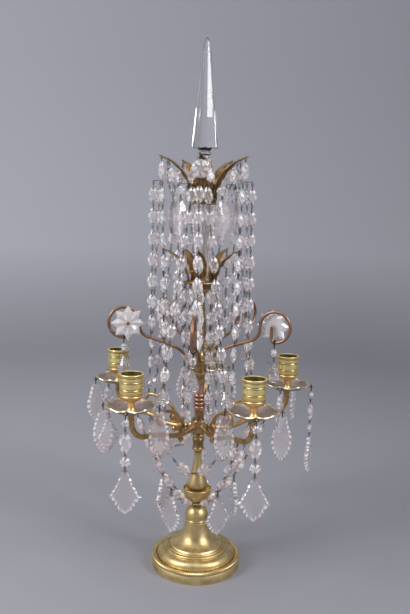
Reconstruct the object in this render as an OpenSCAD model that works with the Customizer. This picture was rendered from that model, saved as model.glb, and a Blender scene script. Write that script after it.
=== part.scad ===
// Five-light girandole candle holder. A turned brass stem stands on a round foot and is held together by one
// tie rod. It carries five scrolled candle arms, five upper scrolls with glass rosettes, two leaf crowns and a
// glass spire, hung with strings of cut glass. Millimetres, +Z up, origin on the table below the stem.

/* [Foot] */
// Radius of the foot where it meets the table
foot_r = 54.3; // [52:0.1:58]
// Height of the skirt
skirt_h = 15.4; // [14:0.1:18]
// How far the skirt's rim draws in above its foot
skirt_taper = 1.7; // [0.5:0.1:2.5]
// Radius of the milled bead round the skirt's rim
skirt_bead_r = 2.4; // [1.6:0.1:2.6]
// Depth of the recess that takes the bell
seat_depth = 6.4; // [5:0.1:8]
// Width of the ledge that the bell rests on
ledge_w = 6; // [4:0.5:7]
// Height of the bell from the ledge to its top
bell_h = 48.4; // [44:0.1:56]
// Radius of the bell's top
bell_top_r = 14.1; // [13:0.1:16]
// Radius of the step above the bell's ogee moulding
bell_step_r = 38.6; // [36:0.1:41]
// Wall of the hollow bell
bell_wall = 2.6; // [2:0.1:3.2]
// Radius of the washer under the bell
washer_r = 9; // [7.5:0.1:9.5]
// Thickness of the washer
washer_t = 1.6; // [1:0.1:2.5]
// Corner radius of the six-sided nut
nut_r = 6.4; // [5.5:0.1:7]
// Height of the nut
nut_h = 5; // [4:0.1:7]

/* [Stem] */
// Radius of the tie rod
rod_r = 3; // [2.5:0.1:3.2]
// Radius of the knop
knop_r = 14.7; // [14.5:0.1:17]
// Height of the knop
knop_h = 20.2; // [17:0.1:24]
// Radius of the neck under the bowl
neck_r = 4.2; // [4:0.1:5]
// Height of the neck
neck_h = 5; // [4:0.1:7]
// Radius of the bowl's lip
bowl_r = 17.9; // [16.5:0.1:20]
// Height of the bowl above the neck
bowl_h = 17.2; // [15:0.1:20]
// Greatest radius of the baluster
baluster_r = 12.2; // [11:0.1:13.5]
// Height of the baluster from the bowl's floor
baluster_h = 62.4; // [56:0.1:70]
// Radius of the hub that takes the candle arms
hub_r = 9; // [8.5:0.1:11]
// Height of that hub
hub_h = 17; // [14:0.1:22]
// Radius of the rings and collars along the stem
collar_r = 7.4; // [6.6:0.1:8.2]
// Height of the collar under the arm hub
collar_h = 21; // [18:0.1:26]
// Height of the neck over the arm hub
hub_neck_h = 13; // [10:0.1:17]
// Height of the ringed sleeve
sleeve_h = 35.6; // [30:0.1:42]
// Number of rings on the sleeve
sleeve_rings = 4; // [3:1:5]
// Height of the hub that takes the upper scrolls
scroll_hub_h = 35; // [32:0.1:40]
// Height of the slim column over the scroll hub
column_h = 78; // [70:0.1:90]
// Greatest radius of the slim column
column_r = 6.8; // [6:0.1:8]
// Radius of the set screws in both hubs
screw_r = 1; // [0.8:0.1:1.1]

/* [Candle arms] */
// Distance from the stem's axis to each candle
arm_reach = 114; // [106:0.5:124]
// Radius of the arm's rod
arm_rod_r = 3.2; // [2.8:0.1:3.6]
// Radius of the rod of the small scroll on the arm
curl_rod_r = 2; // [1.6:0.1:2.4]
// Bend radius where the arm turns up to the pan
arm_bend_r = 24; // [20:0.5:26]
// Height of the flared seat under the pan
arm_seat_h = 9; // [7:0.1:12]
// Radius of the flared seat under the pan
arm_seat_r = 5.6; // [4.6:0.1:6.5]
// Radius of the stud that holds the pan and the cup
stud_r = 2.5; // [2:0.1:3]
// Radius of the tenon that enters the hub
tenon_r = 2.2; // [1.8:0.1:2.6]

/* [Drip pans and candle cups] */
// Radius of the drip pan to the tips of its lobes
pan_r = 29; // [26:0.5:32]
// Depth of the drip pan
pan_depth = 7.8; // [6:0.1:10]
// Thickness of the pan's metal
pan_t = 1.2; // [1:0.1:1.6]
// Number of lobes round the pan
pan_lobes = 8; // [6:2:10]
// Length of the hook lugs on the pan's rim
lug_l = 5; // [4.6:0.1:6]
// Radius of the hook lugs
lug_r = 0.9; // [0.7:0.05:1]
// Radius of the candle's bore
candle_r = 11.2; // [10.5:0.1:11.6]
// Depth of the candle's bore
candle_depth = 24; // [20:0.5:28]
// Wall of the candle cup
cup_wall = 1.7; // [1.4:0.1:2.2]
// Height of the cup's stem up to the floor of the bore
cup_stem_h = 18.8; // [17.5:0.1:22]

/* [Upper scrolls] */
// Distance from the stem's axis to the middle of each hook
hook_reach = 93; // [88:0.5:98]
// Radius of the hook
hook_r = 18; // [16:0.5:20]
// Radius of the scroll's rod
scroll_rod_r = 1.9; // [1.6:0.1:2.2]
// Radius of the glass rosettes
rosette_r = 20.5; // [17:0.5:22]
// Thickness of the glass rosettes
rosette_t = 4.4; // [3.6:0.1:6]
// Number of petals on a rosette
rosette_petals = 8; // [6:1:10]

/* [Crowns and spire] */
// Radius of the lower crown's plate
low_plate_r = 22.5; // [20.5:0.1:25]
// Height of the lower crown's plate
low_plate_h = 9.5; // [8:0.1:12]
// Radius of the curve of the lower crown's leaves
low_leaf_r = 40; // [36:0.5:44]
// Height of the glass vase
vase_h = 90.5; // [82:0.1:100]
// Radius of the vase's mouth
vase_r = 15.4; // [14.5:0.1:17]
// Radius of the vase's waist
vase_waist_r = 7.8; // [7:0.1:9]
// Height of the upper crown's plate
high_plate_h = 7; // [6:0.1:9]
// Radius of the curve of the upper crown's leaves
high_leaf_r = 50; // [46:0.5:54]
// Thickness of the leaves' metal
leaf_t = 1.4; // [1.1:0.1:1.8]
// Greatest width of a leaf
leaf_w = 15; // [13:0.5:17]
// Height of the spire's socket
socket_h = 23; // [20:0.1:28]
// Radius of the spire's peg
peg_r = 5; // [4.5:0.1:5.5]
// Length of the spire's peg
peg_l = 15.5; // [13:0.1:16.5]
// Radius of the glass knob under the spire
knob_r = 11.5; // [10:0.1:13]
// Height of the glass knob with its neck
knob_h = 35; // [30:0.1:40]
// Corner radius of the spire's base
spire_r = 15.8; // [14:0.1:18]
// Height of the spire above its knob
spire_h = 125; // [110:0.5:140]
// Number of sides of the spire
spire_sides = 8; // [6:2:8]

/* [Cut glass] */
// Length of a string bead
bead_l = 19; // [16:0.5:21]
// Width of a string bead
bead_w = 11; // [9:0.5:12]
// Thickness of a string bead
bead_t = 6; // [5:0.1:7]
// Least length of the wire between string beads
wire_l = 5; // [4:0.5:9]
// Radius of the wires
wire_r = 0.7; // [0.5:0.05:0.8]
// Length of a swag bead
swag_bead_l = 20; // [17:0.5:22]
// Width of a swag bead
swag_bead_w = 13; // [11:0.5:14]
// Length of the small bead that heads a hanging chain
small_bead_l = 11; // [9:0.5:13]
// Width of that small bead
small_bead_w = 8; // [6:0.5:9]
// Length of the large bead in a kite chain
chain_bead_l = 24; // [20:0.5:26]
// Radius of the small rosette in a kite chain
chain_disc_r = 6; // [5:0.1:7]
// Width across the tip drops under the upper crown
tip_drop_w = 21; // [16:0.5:23]
// Length of the almond drops
almond_l = 42; // [36:0.5:46]
// Width of the almond drops
almond_w = 24; // [19:0.5:26]
// Length of the kite plaques
kite_l = 48; // [42:0.5:54]
// Width of the kite plaques
kite_w = 37; // [32:0.5:40]
// Length of the leaf plaques
leaf_plaque_l = 50; // [44:0.5:56]
// Width of the leaf plaques
leaf_plaque_w = 23; // [20:0.5:26]
// Thickness of the plaques
plaque_t = 5; // [4:0.1:6]
// Length of the pear drops
pear_l = 27; // [23:0.5:31]
// Radius of the pear drops
pear_r = 7.5; // [6:0.1:8.5]

/* [Hidden] */
COUNT = 5;
STEP = 360 / COUNT;
FIRST_ARM = 18;
FIRST_SCROLL = FIRST_ARM + STEP / 2;
$fn = 48;

// Clearances: turned parts on the rod, a seat, a running fit, a wire's end, and two pieces of glass or metal
rod_gap = 0.1;
seat_gap = 0.2;
run_gap = 0.05;
wire_gap = 0.25;
clear_gap = 0.3;
bore_r = rod_r + rod_gap;
over = 0.5;

// Knuckles where two lengths of bent rod meet: how far they stand out, and the gap inside them
knuckle = 0.35;
braze_gap = 0.2;

// Heights along the stem, each standing on the piece below
ledge_z = skirt_h - seat_depth;
bell_top = ledge_z + bell_h;
bell_web = 5;
washer_top = bell_top - bell_web;
nut_top = washer_top - washer_t;
knop_top = bell_top + knop_h;
neck_top = knop_top + neck_h;
bowl_lip = neck_top + bowl_h;
bowl_floor = neck_top + 5.4;
baluster_top = bowl_floor + baluster_h;
hub_bottom = baluster_top + collar_h;
hub_top = hub_bottom + hub_h;
sleeve_bottom = hub_top + hub_neck_h;
sleeve_top = sleeve_bottom + sleeve_h;
scroll_hub_top = sleeve_top + scroll_hub_h;
column_top = scroll_hub_top + column_h;
low_plate_top = column_top + low_plate_h;
vase_top = low_plate_top + vase_h;
high_plate_top = vase_top + high_plate_h;
socket_top = high_plate_top + socket_h;
knob_top = socket_top + knob_h;

// Points on an arc and on a cubic curve, for turned outlines of [radius, height]
function arc(c, r, a0, a1, n = 6) =
    [for (i = [0:n]) c + r * [cos(a0 + (a1 - a0) * i / n), sin(a0 + (a1 - a0) * i / n)]];
function cubic(p, q, r, s, n = 8) =
    [for (i = [0:n]) let (t = i / n, u = 1 - t) u^3 * p + 3 * u^2 * t * q + 3 * u * t^2 * r + t^3 * s];

module turned(outline) {
    rotate_extrude()
        polygon(outline);
}

// Places its children round the stem, with their own +X pointing away from it
module at_arm(k) {
    rotate([0, 0, FIRST_ARM + (k - 1) * STEP])
        children();
}

module at_scroll(k) {
    rotate([0, 0, FIRST_SCROLL + (k - 1) * STEP])
        children();
}

// Bent rod in the XZ plane. A state is [x, z, heading]; a bend [radius, turn] turns left when positive, and
// [0, length] runs straight
function bend_end(s, b) = b[0] == 0
    ? [s[0] + b[1] * cos(s[2]), s[1] + b[1] * sin(s[2]), s[2]]
    : let (side = sign(b[1]), h = s[2] + b[1])
        [s[0] + side * b[0] * (sin(h) - sin(s[2])), s[1] + side * b[0] * (cos(s[2]) - cos(h)), h];
function bend_path(s, bends) =
    [for (i = 0, at = s; i <= len(bends); at = i < len(bends) ? bend_end(at, bends[i]) : at, i = i + 1) at];

// The rod's lengths are brazed end to end in small round knuckles
module bent_rod(s, bends, r) {
    path = bend_path(s, bends);
    last = len(bends) - 1;
    for (i = [0:last]) {
        p = path[i];
        b = bends[i];
        near = i == 0 ? 0 : braze_gap;
        far = i == last ? 0 : braze_gap;
        if (b[0] == 0) {
            translate([p[0] + near * cos(p[2]), 0, p[1] + near * sin(p[2])])
                rotate([0, 90 - p[2], 0])
                    cylinder(h = b[1] - near - far, r = r);
        } else {
            side = sign(b[1]);
            first = side > 0 ? near : far;
            per_mm = 180 / PI / b[0];
            translate([p[0] - side * b[0] * sin(p[2]), 0, p[1] + side * b[0] * cos(p[2])])
                rotate([90, 0, 0])
                    rotate([0, 0, (side > 0 ? p[2] - 90 : p[2] + 90 + b[1]) + first * per_mm])
                        rotate_extrude(angle = abs(b[1]) - (near + far) * per_mm)
                            translate([b[0], 0])
                                circle(r);
        }
        if (i > 0)
            translate([p[0], 0, p[1]])
                sphere(r + knuckle);
    }
}

// Turns a point about the stem
function turn(p, a) = [p.x * cos(a) - p.y * sin(a), p.x * sin(a) + p.y * cos(a), p.z];

// Foot

rim_r = foot_r - skirt_taper;
seat_r = rim_r - 2.6;

module foot_skirt() {
    color("darkkhaki")
        turned(concat(
            [[seat_r - 1, 0], [foot_r, 0], [foot_r, 2],
                [rim_r + skirt_bead_r * cos(60), skirt_h - 2 * skirt_bead_r]],
            arc([rim_r, skirt_h - skirt_bead_r], skirt_bead_r, -40, 90),
            [[seat_r, skirt_h], [seat_r, ledge_z], [seat_r - ledge_w, ledge_z], [seat_r - ledge_w, ledge_z - 3]]
        ));
}

module foot_bell() {
    flange_r = seat_r - seat_gap;
    flange_top = ledge_z + 3.6;
    ogee_top = ledge_z + 14.6;
    step_top = ogee_top + 2.6;
    flare_r = bell_step_r - 6;
    flare_z = step_top + 3;
    outside = concat(
        [[flange_r, ledge_z], [flange_r, flange_top]],
        cubic([flange_r - 1.4, flange_top + 1], [flange_r - 1.4, ogee_top - 3], [bell_step_r + 6, ogee_top],
            [bell_step_r + 1.4, ogee_top]),
        [[bell_step_r, ogee_top], [bell_step_r, step_top], [flare_r + 2, step_top + 0.8]],
        cubic([flare_r, flare_z], [bell_top_r + 6, flare_z + 2], [bell_top_r + 2, flare_z + 13],
            [bell_top_r, bell_top])
    );
    inside = concat(
        cubic([bell_top_r - bell_wall, washer_top], [bell_top_r - bell_wall + 2, flare_z + 10],
            [bell_top_r + 2, flare_z - 1], [flare_r - 1, flare_z - bell_wall - 2]),
        [[bell_step_r - bell_wall, ogee_top - bell_wall - 1], [seat_r - ledge_w + 0.4, flange_top],
            [seat_r - ledge_w + 0.4, ledge_z]]
    );
    color("darkkhaki")
        turned(concat(outside, [[bore_r, bell_top], [bore_r, washer_top]], inside));
}

module foot_washer() {
    color("silver")
        translate([0, 0, nut_top])
            difference() {
                cylinder(h = washer_t, r = washer_r);
                translate([0, 0, -over])
                    cylinder(h = washer_t + 2 * over, r = bore_r);
            }
}

module foot_nut() {
    color("silver")
        translate([0, 0, nut_top - nut_h])
            difference() {
                cylinder(h = nut_h, r = nut_r, $fn = 6);
                translate([0, 0, -over])
                    cylinder(h = nut_h + 2 * over, r = bore_r);
            }
}

// Stem

rod_bottom = nut_top - nut_h - 3;
socket_floor = socket_top - peg_l - clear_gap;
rod_top = socket_floor - 1;

module tie_rod() {
    color("dimgray")
        translate([0, 0, rod_bottom])
            cylinder(h = rod_top - rod_bottom, r = rod_r);
}

module knop() {
    band_z = bell_top + 3;
    color("darkkhaki")
        turned(concat(
            [[bore_r, bell_top], [bell_top_r, bell_top], [knop_r, bell_top + 0.8], [knop_r, band_z],
                [knop_r - 0.7, band_z + 0.5]],
            cubic([knop_r - 0.4, band_z + 1], [knop_r, knop_top - 7], [knop_r - 4, knop_top - 1],
                [neck_r + 0.8, knop_top]),
            [[bore_r, knop_top]]
        ));
}

module bowl() {
    lip_t = 1.3;
    color("darkkhaki")
        turned(concat(
            [[bore_r, knop_top], [neck_r + 0.8, knop_top], [neck_r, knop_top + 1.8], [neck_r, neck_top - 1.6]],
            cubic([neck_r + 2.4, neck_top], [bowl_r - 3, neck_top + 2.6], [bowl_r - 1.2, neck_top + 9],
                [bowl_r, bowl_lip]),
            cubic([bowl_r - lip_t, bowl_lip], [bowl_r - lip_t - 1.4, bowl_floor + 5],
                [bowl_r - lip_t - 4, bowl_floor], [bowl_r / 2, bowl_floor]),
            [[bore_r, bowl_floor]]
        ));
}

module baluster() {
    foot_h = 8.6;
    bulge_z = bowl_floor + foot_h + 8;
    foot_neck_r = 5.4;
    color("darkkhaki")
        turned(concat(
            [[bore_r, bowl_floor], [foot_neck_r, bowl_floor], [foot_neck_r, bowl_floor + foot_h]],
            cubic([baluster_r - 3, bowl_floor + foot_h + 1], [baluster_r, bowl_floor + foot_h + 3],
                [baluster_r, bulge_z - 2], [baluster_r, bulge_z]),
            cubic([baluster_r - 0.1, bulge_z + 1], [baluster_r - 1.5, bulge_z + 10], [neck_r + 1, bulge_z + 18],
                [neck_r + 0.2, baluster_top - 7]),
            [[neck_r + 0.8, baluster_top - 2.4], [collar_r - 1, baluster_top - 1], [collar_r - 1, baluster_top],
                [bore_r, baluster_top]]
        ));
}

screw_at = hub_r - screw_r - 0.7;
hub_neck_r = screw_at - screw_r - 0.3;
arm_z = hub_bottom + hub_h / 2;

// Radial holes for the tenons of a hub, and a screw hole from its shoulder down to each of them
module hub_holes(z, r, first, shoulder) {
    for (k = [0:COUNT - 1]) {
        rotate([0, 0, first + k * STEP]) {
            translate([bore_r + 1, 0, z])
                rotate([0, 90, 0])
                    cylinder(h = hub_r, r = r + run_gap);
            translate([screw_at, 0, z])
                cylinder(h = shoulder - z + over, r = screw_r + run_gap);
        }
    }
}

module arm_hub() {
    waist = hub_bottom - 8;
    color("darkgoldenrod")
        difference() {
            turned(concat(
                [[bore_r, baluster_top], [collar_r, baluster_top], [collar_r, baluster_top + 1.6]],
                cubic([collar_r - 0.5, baluster_top + 2], [collar_r - 1, baluster_top + 5],
                    [collar_r - 1, waist - 4], [collar_r - 0.2, waist - 2]),
                [[collar_r, waist - 1], [collar_r, waist + 1], [collar_r - 1.2, waist + 1.6],
                    [collar_r - 1.2, waist + 3]],
                arc([collar_r - 1.6, waist + 4.8], 1.6, -80, 80),
                [[collar_r - 1.2, waist + 7], [hub_r - 1, hub_bottom], [hub_r, hub_bottom + 1],
                    [hub_r, hub_top - 1], [hub_r - 0.6, hub_top], [hub_neck_r, hub_top],
                    [hub_neck_r - 0.6, hub_top + 4], [hub_neck_r, sleeve_bottom], [bore_r, sleeve_bottom]]
            ));
            hub_holes(arm_z, tenon_r, FIRST_ARM, hub_top);
        }
}

module stem_sleeve() {
    ring_h = 5;
    rings_top = sleeve_bottom + sleeve_rings * ring_h;
    color("rosybrown")
        turned(concat(
            [[bore_r, sleeve_bottom], [collar_r - 1.4, sleeve_bottom]],
            [for (i = [0:sleeve_rings - 1])
                each arc([collar_r - 2, sleeve_bottom + (i + 0.5) * ring_h], 2, -75, 75)],
            [[collar_r - 1.4, rings_top], [collar_r - 2.2, rings_top + 4], [collar_r - 2.2, sleeve_top - 6],
                [collar_r, sleeve_top - 1], [collar_r, sleeve_top], [bore_r, sleeve_top]]
        ));
}

scroll_shoulder = scroll_hub_top - 3;
scroll_z = scroll_shoulder - 7;
scroll_tenon_r = scroll_rod_r - 0.3;

module scroll_hub() {
    flare_top = sleeve_top + 11;
    color("darkgoldenrod")
        difference() {
            turned([
                [bore_r, sleeve_top], [collar_r, sleeve_top], [collar_r + 0.6, sleeve_top + 1],
                [hub_r + 0.8, flare_top - 2], [hub_r + 0.8, flare_top], [hub_r - 1.6, flare_top + 1],
                [hub_r - 1.6, scroll_z - 6], [hub_r, scroll_z - 5], [hub_r, scroll_shoulder - 0.8],
                [hub_r - 0.6, scroll_shoulder], [hub_neck_r, scroll_shoulder], [hub_neck_r - 1, scroll_hub_top],
                [bore_r, scroll_hub_top]
            ]);
            hub_holes(scroll_z, scroll_tenon_r, FIRST_SCROLL, scroll_shoulder);
        }
}

module upper_column() {
    foot_neck_r = hub_neck_r - 1;
    bulge_z = scroll_hub_top + column_h * 0.36;
    slim_r = bore_r + 1.1;
    color("goldenrod")
        turned(concat(
            [[bore_r, scroll_hub_top], [foot_neck_r, scroll_hub_top]],
            cubic([slim_r, scroll_hub_top + 4], [slim_r, bulge_z - 12], [column_r, bulge_z - 9],
                [column_r, bulge_z]),
            cubic([column_r - 0.05, bulge_z + 1], [column_r, bulge_z + 10], [slim_r, bulge_z + 14],
                [slim_r, column_top - 14]),
            [[slim_r + 0.6, column_top - 7], [low_plate_r / 2 - 2, column_top - 1.4],
                [low_plate_r / 2 - 2, column_top], [bore_r, column_top]]
        ));
}

module set_screws() {
    tip_gap = run_gap + clear_gap / 2;
    head_h = 0.6;
    color("gray")
        for (k = [1:COUNT]) {
            at_arm(k)
                translate([screw_at, 0, arm_z + tenon_r + tip_gap])
                    cylinder(h = hub_top + head_h - arm_z - tenon_r - tip_gap, r = screw_r);
            at_scroll(k)
                translate([screw_at, 0, scroll_z + scroll_tenon_r + tip_gap])
                    cylinder(h = scroll_shoulder + head_h - scroll_z - scroll_tenon_r - tip_gap, r = screw_r);
        }
}

// Candle arms

tenon_l = hub_r - bore_r - 1.2;
arm_dip_r = 60;
arm_crest_r = 50;
arm_start = [hub_r + 2, arm_z, -20];
arm_sweep = [[arm_dip_r, 45], [arm_crest_r, -20]];
arm_low = bend_path(arm_start, arm_sweep)[2];
arm_run = (arm_reach - arm_low[0] - arm_bend_r * (1 - sin(arm_low[2]))) / cos(arm_low[2]);
arm_bends = concat(arm_sweep, [[0, arm_run], [arm_bend_r, 90 - arm_low[2]]]);
arm_path = bend_path(arm_start, arm_bends);
arm_top = arm_path[4][1];
pan_z = arm_top + arm_seat_h + run_gap;
pan_top = pan_z + pan_t;
cup_z = pan_top + run_gap;
stud_l = 10;

// The small scroll springs from the arm, rises over it and curls down
curl_from = 28;
curl_heading = asin(sin(arm_start[2]) + (curl_from - arm_start[0]) / arm_dip_r);
curl_z = arm_start[1] + arm_dip_r * (cos(arm_start[2]) - cos(curl_heading));
curl_start = [curl_from, curl_z, 88];
curl_r = 8;
curl_rise_r = 36;
curl_run = 6;
curl_bends = [[curl_rise_r, -78], [0, curl_run], [curl_r, -215]];
curl_path = bend_path(curl_start, curl_bends);
curl_mid = [curl_path[2][0] + curl_r * sin(curl_path[2][2]), curl_path[2][1] - curl_r * cos(curl_path[2][2])];

module candle_arm(k) {
    button_r = 6.5;
    button_t = 2 * curl_rod_r + 1;
    bud_r = 3.6;
    color("peru")
        at_arm(k) {
            translate([hub_r - tenon_l, 0, arm_z])
                rotate([0, 90, 0])
                    cylinder(h = tenon_l + 2, r = tenon_r);
            translate([hub_r + rod_gap, 0, arm_z])
                rotate([0, 90, 0])
                    cylinder(h = 2.6, r = arm_rod_r + 1);
            bent_rod(arm_start, arm_bends, arm_rod_r);
            bent_rod(curl_start, curl_bends, curl_rod_r);
            translate([curl_path[3][0], 0, curl_path[3][1]])
                sphere(curl_rod_r + 1);
            translate([curl_from + 5, button_t / 2, curl_z + 10])
                rotate([90, 0, 0])
                    cylinder(h = button_t, r = button_r);
            translate([curl_from + 5, 0, curl_z - arm_rod_r - bud_r + 1])
                sphere(bud_r);
            translate([arm_reach, 0, arm_top - 1])
                turned(concat(
                    [[0, 0], [arm_rod_r + 0.4, 0]],
                    cubic([arm_rod_r + 0.4, 1.4], [arm_rod_r + 0.6, arm_seat_h - 2],
                        [arm_seat_r - 1, arm_seat_h - 1.4], [arm_seat_r, arm_seat_h]),
                    [[arm_seat_r, arm_seat_h + 1], [stud_r, arm_seat_h + 1],
                        [stud_r, arm_seat_h + 1 + pan_t + stud_l], [0, arm_seat_h + 1 + pan_t + stud_l]]
                ));
        }
}

// Drip pans and candle cups

lug_z = pan_z + pan_depth;
lug_hang = pan_r + lug_l * 0.44;
lug_angles = [0, 90, 270];

// Each pan has been turned a little on its stud, with its lugs and all that hangs from them
pan_turns = [-36, 0, -36, 36, -30];

module at_pan(k) {
    at_arm(k)
        translate([arm_reach, 0, 0])
            rotate([0, 0, pan_turns[k - 1]])
                children();
}

module drip_pan(k) {
    flat_r = arm_seat_r + 1.4;
    slope_r = pan_r * 0.66;
    notch_r = 9;
    notch_depth = 1.5;
    color("tan")
        at_pan(k)
            translate([0, 0, pan_z]) {
                difference() {
                    turned([
                        [stud_r + seat_gap, 0], [flat_r, 0], [slope_r, 1.6], [pan_r - 2.4, pan_depth - 1.2],
                        [pan_r, pan_depth], [pan_r, pan_depth + pan_t], [pan_r - 2.8, pan_depth],
                        [slope_r - 0.6, 1.7 + pan_t], [flat_r, pan_t], [stud_r + seat_gap, pan_t]
                    ]);
                    for (i = [0:pan_lobes - 1])
                        rotate([0, 0, (i + 0.5) * 360 / pan_lobes])
                            translate([pan_r + notch_r - notch_depth, 0, -over])
                                cylinder(h = pan_depth + pan_t + 2 * over, r = notch_r);
                }
                for (a = lug_angles)
                    rotate([0, 0, a])
                        translate([pan_r - 1.4, 0, pan_depth])
                            rotate([0, 90, 0]) {
                                cylinder(h = lug_l + 1.4, r = lug_r);
                                translate([0, 0, lug_l + 1.4])
                                    sphere(lug_r + 0.3);
                            }
            }
}

cup_h = cup_stem_h + candle_depth;

module candle_cup(k) {
    body_r = candle_r + cup_wall;
    groove = 0.6;
    lip = 1.4;
    foot_top = 2.2;
    waist_r = stud_r + 1.1;
    belt = cup_stem_h + candle_depth * 0.36;
    color("goldenrod")
        at_arm(k)
            translate([arm_reach, 0, cup_z])
                difference() {
                    turned(concat(
                        [[0, 0], [arm_seat_r, 0], [arm_seat_r, foot_top], [waist_r + 0.4, foot_top + 1.8],
                            [waist_r, foot_top + 5], [waist_r + 1, cup_stem_h - 7.6]],
                        cubic([body_r - 4, cup_stem_h - 5.4], [body_r - 1, cup_stem_h - 4],
                            [body_r, cup_stem_h - 2], [body_r, cup_stem_h]),
                        [[body_r, belt], [body_r - groove, belt + groove], [body_r - groove, belt + 2 * groove],
                            [body_r, belt + 3 * groove], [body_r, cup_h - 6.4], [body_r - groove, cup_h - 5.8],
                            [body_r - groove, cup_h - 4.8], [body_r + lip / 2, cup_h - 4],
                            [body_r + lip / 2, cup_h - 3], [body_r + lip, cup_h - 1.8], [body_r + lip, cup_h],
                            [0, cup_h]]
                    ));
                    translate([0, 0, cup_stem_h])
                        cylinder(h = candle_depth + over, r = candle_r);
                    translate([0, 0, -over])
                        cylinder(h = stud_l + clear_gap + over, r = stud_r + run_gap);
                }
}

// Upper scrolls with their rosettes

scroll_start = [hub_r + 3, scroll_z, 55];
scroll_rise_r = 60;
scroll_turn_r = 16;
scroll_rise = [[scroll_rise_r, -35]];
scroll_turn = [scroll_turn_r, 75];
scroll_flat = bend_path(scroll_start, scroll_rise)[1];
scroll_turned = bend_end([0, 0, scroll_flat[2]], scroll_turn);
scroll_run = (hook_reach - scroll_flat[0] - scroll_turned[0] - hook_r * sin(scroll_turned[2]))
    / cos(scroll_flat[2]);
eye_turn_r = 4;
eye_turn = [eye_turn_r, -90];
eye_run = hook_r - eye_turn_r;
scroll_bends = concat(scroll_rise, [[0, scroll_run], scroll_turn, [hook_r, -180 - scroll_turned[2]], eye_turn],
    [[0, eye_run]]);
scroll_path = bend_path(scroll_start, scroll_bends);
hook_low = [scroll_path[4][0], 0, scroll_path[4][1]];
eye = [scroll_path[6][0], 0, scroll_path[6][1]];
pin_r = 1.2;
drop_bar_r = scroll_rod_r + knuckle;
rosette_y = eye_out(drop_bar_r) + clear_gap;

// Height of the scroll's straight run at a distance from the stem
function scroll_height(x) = scroll_flat[1] + (x - scroll_flat[0]) * tan(scroll_flat[2]);

module upper_scroll(k) {
    color("sienna")
        at_scroll(k) {
            translate([hub_r - tenon_l, 0, scroll_z])
                rotate([0, 90, 0])
                    cylinder(h = tenon_l + 1, r = scroll_tenon_r);
            translate([hub_r + rod_gap, 0, scroll_z])
                rotate([0, 90, 0])
                    cylinder(h = 4, r = scroll_rod_r + 0.8);
            bent_rod(scroll_start, scroll_bends, scroll_rod_r);
            translate(eye)
                rotate([-90, 0, 0])
                    cylinder(h = rosette_y + rosette_t + 1.4, r = pin_r);
            translate(eye)
                sphere(scroll_rod_r + 0.2);
        }
}

module rosettes() {
    notch_r = rosette_r * 0.2;
    rim_t = rosette_t * 0.45;
    color("thistle")
        for (k = [1:COUNT])
            at_scroll(k)
                translate([eye.x, rosette_y, eye.z])
                    rotate([-90, 0, 0])
                        difference() {
                            turned([
                                [pin_r + seat_gap, 0], [rosette_r, 0], [rosette_r, rim_t],
                                [rosette_r * 0.62, rosette_t], [rosette_r * 0.3, rosette_t],
                                [pin_r + seat_gap, rosette_t * 0.8]
                            ]);
                            for (i = [0:rosette_petals - 1])
                                rotate([0, 0, i * 360 / rosette_petals])
                                    translate([rosette_r + notch_r * 0.4, 0, -over])
                                        cylinder(h = rosette_t + 2 * over, r = notch_r);
                        }
}

// Crowns

leaf_sweep = 80;

// Half of a leaf's outline, [share of its length, share of its half width], with three lobes a side
function leaf_half(l, w) = [for (i = [0:18]) let (t = i / 18)
    [l * t, w * (0.3 + 0.7 * sin(180 * t^0.8)) * (1 - t^4) * (1 - 0.16 * abs(cos(540 * t))) + 0.6]];

// One leaf that rises from [base_r, base_z] and arches outward with a radius of bend_r
module crown_leaf(base_r, base_z, bend_r, w) {
    chord = 2 * bend_r * sin(leaf_sweep / 2);
    side = leaf_half(chord, w / 2);
    mirrored = [for (i = [len(side) - 1:-1:0]) [side[i].x, -side[i].y]];
    intersection() {
        translate([base_r + bend_r, 0, base_z])
            rotate([90, 0, 0])
                difference() {
                    cylinder(h = 2 * w, r = bend_r + leaf_t / 2, center = true);
                    cylinder(h = 2 * w + 2 * over, r = bend_r - leaf_t / 2, center = true);
                }
        translate([base_r, 0, base_z])
            rotate([0, -(90 - leaf_sweep / 2), 0])
                linear_extrude(height = bend_r, center = true)
                    polygon(concat(side, mirrored));
    }
}

// Point on the middle of a leaf, at an angle along its bend
function leaf_point(base_r, base_z, bend_r, a) =
    [base_r + bend_r * (1 - cos(a)), 0, base_z + bend_r * sin(a)];

leaf_sink = 1.2;
low_leaf_base = low_plate_r - 6.5;
high_leaf_base = vase_r - 2.4;

module lower_crown() {
    color("darkgoldenrod") {
        turned([
            [bore_r, column_top], [low_plate_r / 2, column_top], [low_plate_r - 3, low_plate_top - 3],
            [low_plate_r, low_plate_top - 1.8], [low_plate_r, low_plate_top], [bore_r, low_plate_top]
        ]);
        for (k = [1:COUNT])
            at_scroll(k)
                crown_leaf(low_leaf_base, low_plate_top - leaf_sink, low_leaf_r, leaf_w * 0.9);
    }
}

module glass_vase() {
    color("lavender")
        turned(concat(
            [[bore_r, low_plate_top], [vase_waist_r + 1.2, low_plate_top],
                [vase_waist_r + 1.2, low_plate_top + 2]],
            cubic([vase_waist_r, low_plate_top + 4], [vase_waist_r, low_plate_top + 30],
                [vase_r - 3, vase_top - 34], [vase_r, vase_top - 4]),
            [[vase_r, vase_top], [bore_r, vase_top]]
        ));
}

module upper_crown() {
    color("darkgoldenrod") {
        turned([
            [bore_r, vase_top], [vase_r - 0.6, vase_top], [vase_r + 0.4, vase_top + 1],
            [vase_r + 0.4, high_plate_top - 1], [vase_r - 0.4, high_plate_top], [bore_r, high_plate_top]
        ]);
        for (k = [1:COUNT])
            at_scroll(k)
                crown_leaf(high_leaf_base, high_plate_top - leaf_sink, high_leaf_r, leaf_w);
    }
}

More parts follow.
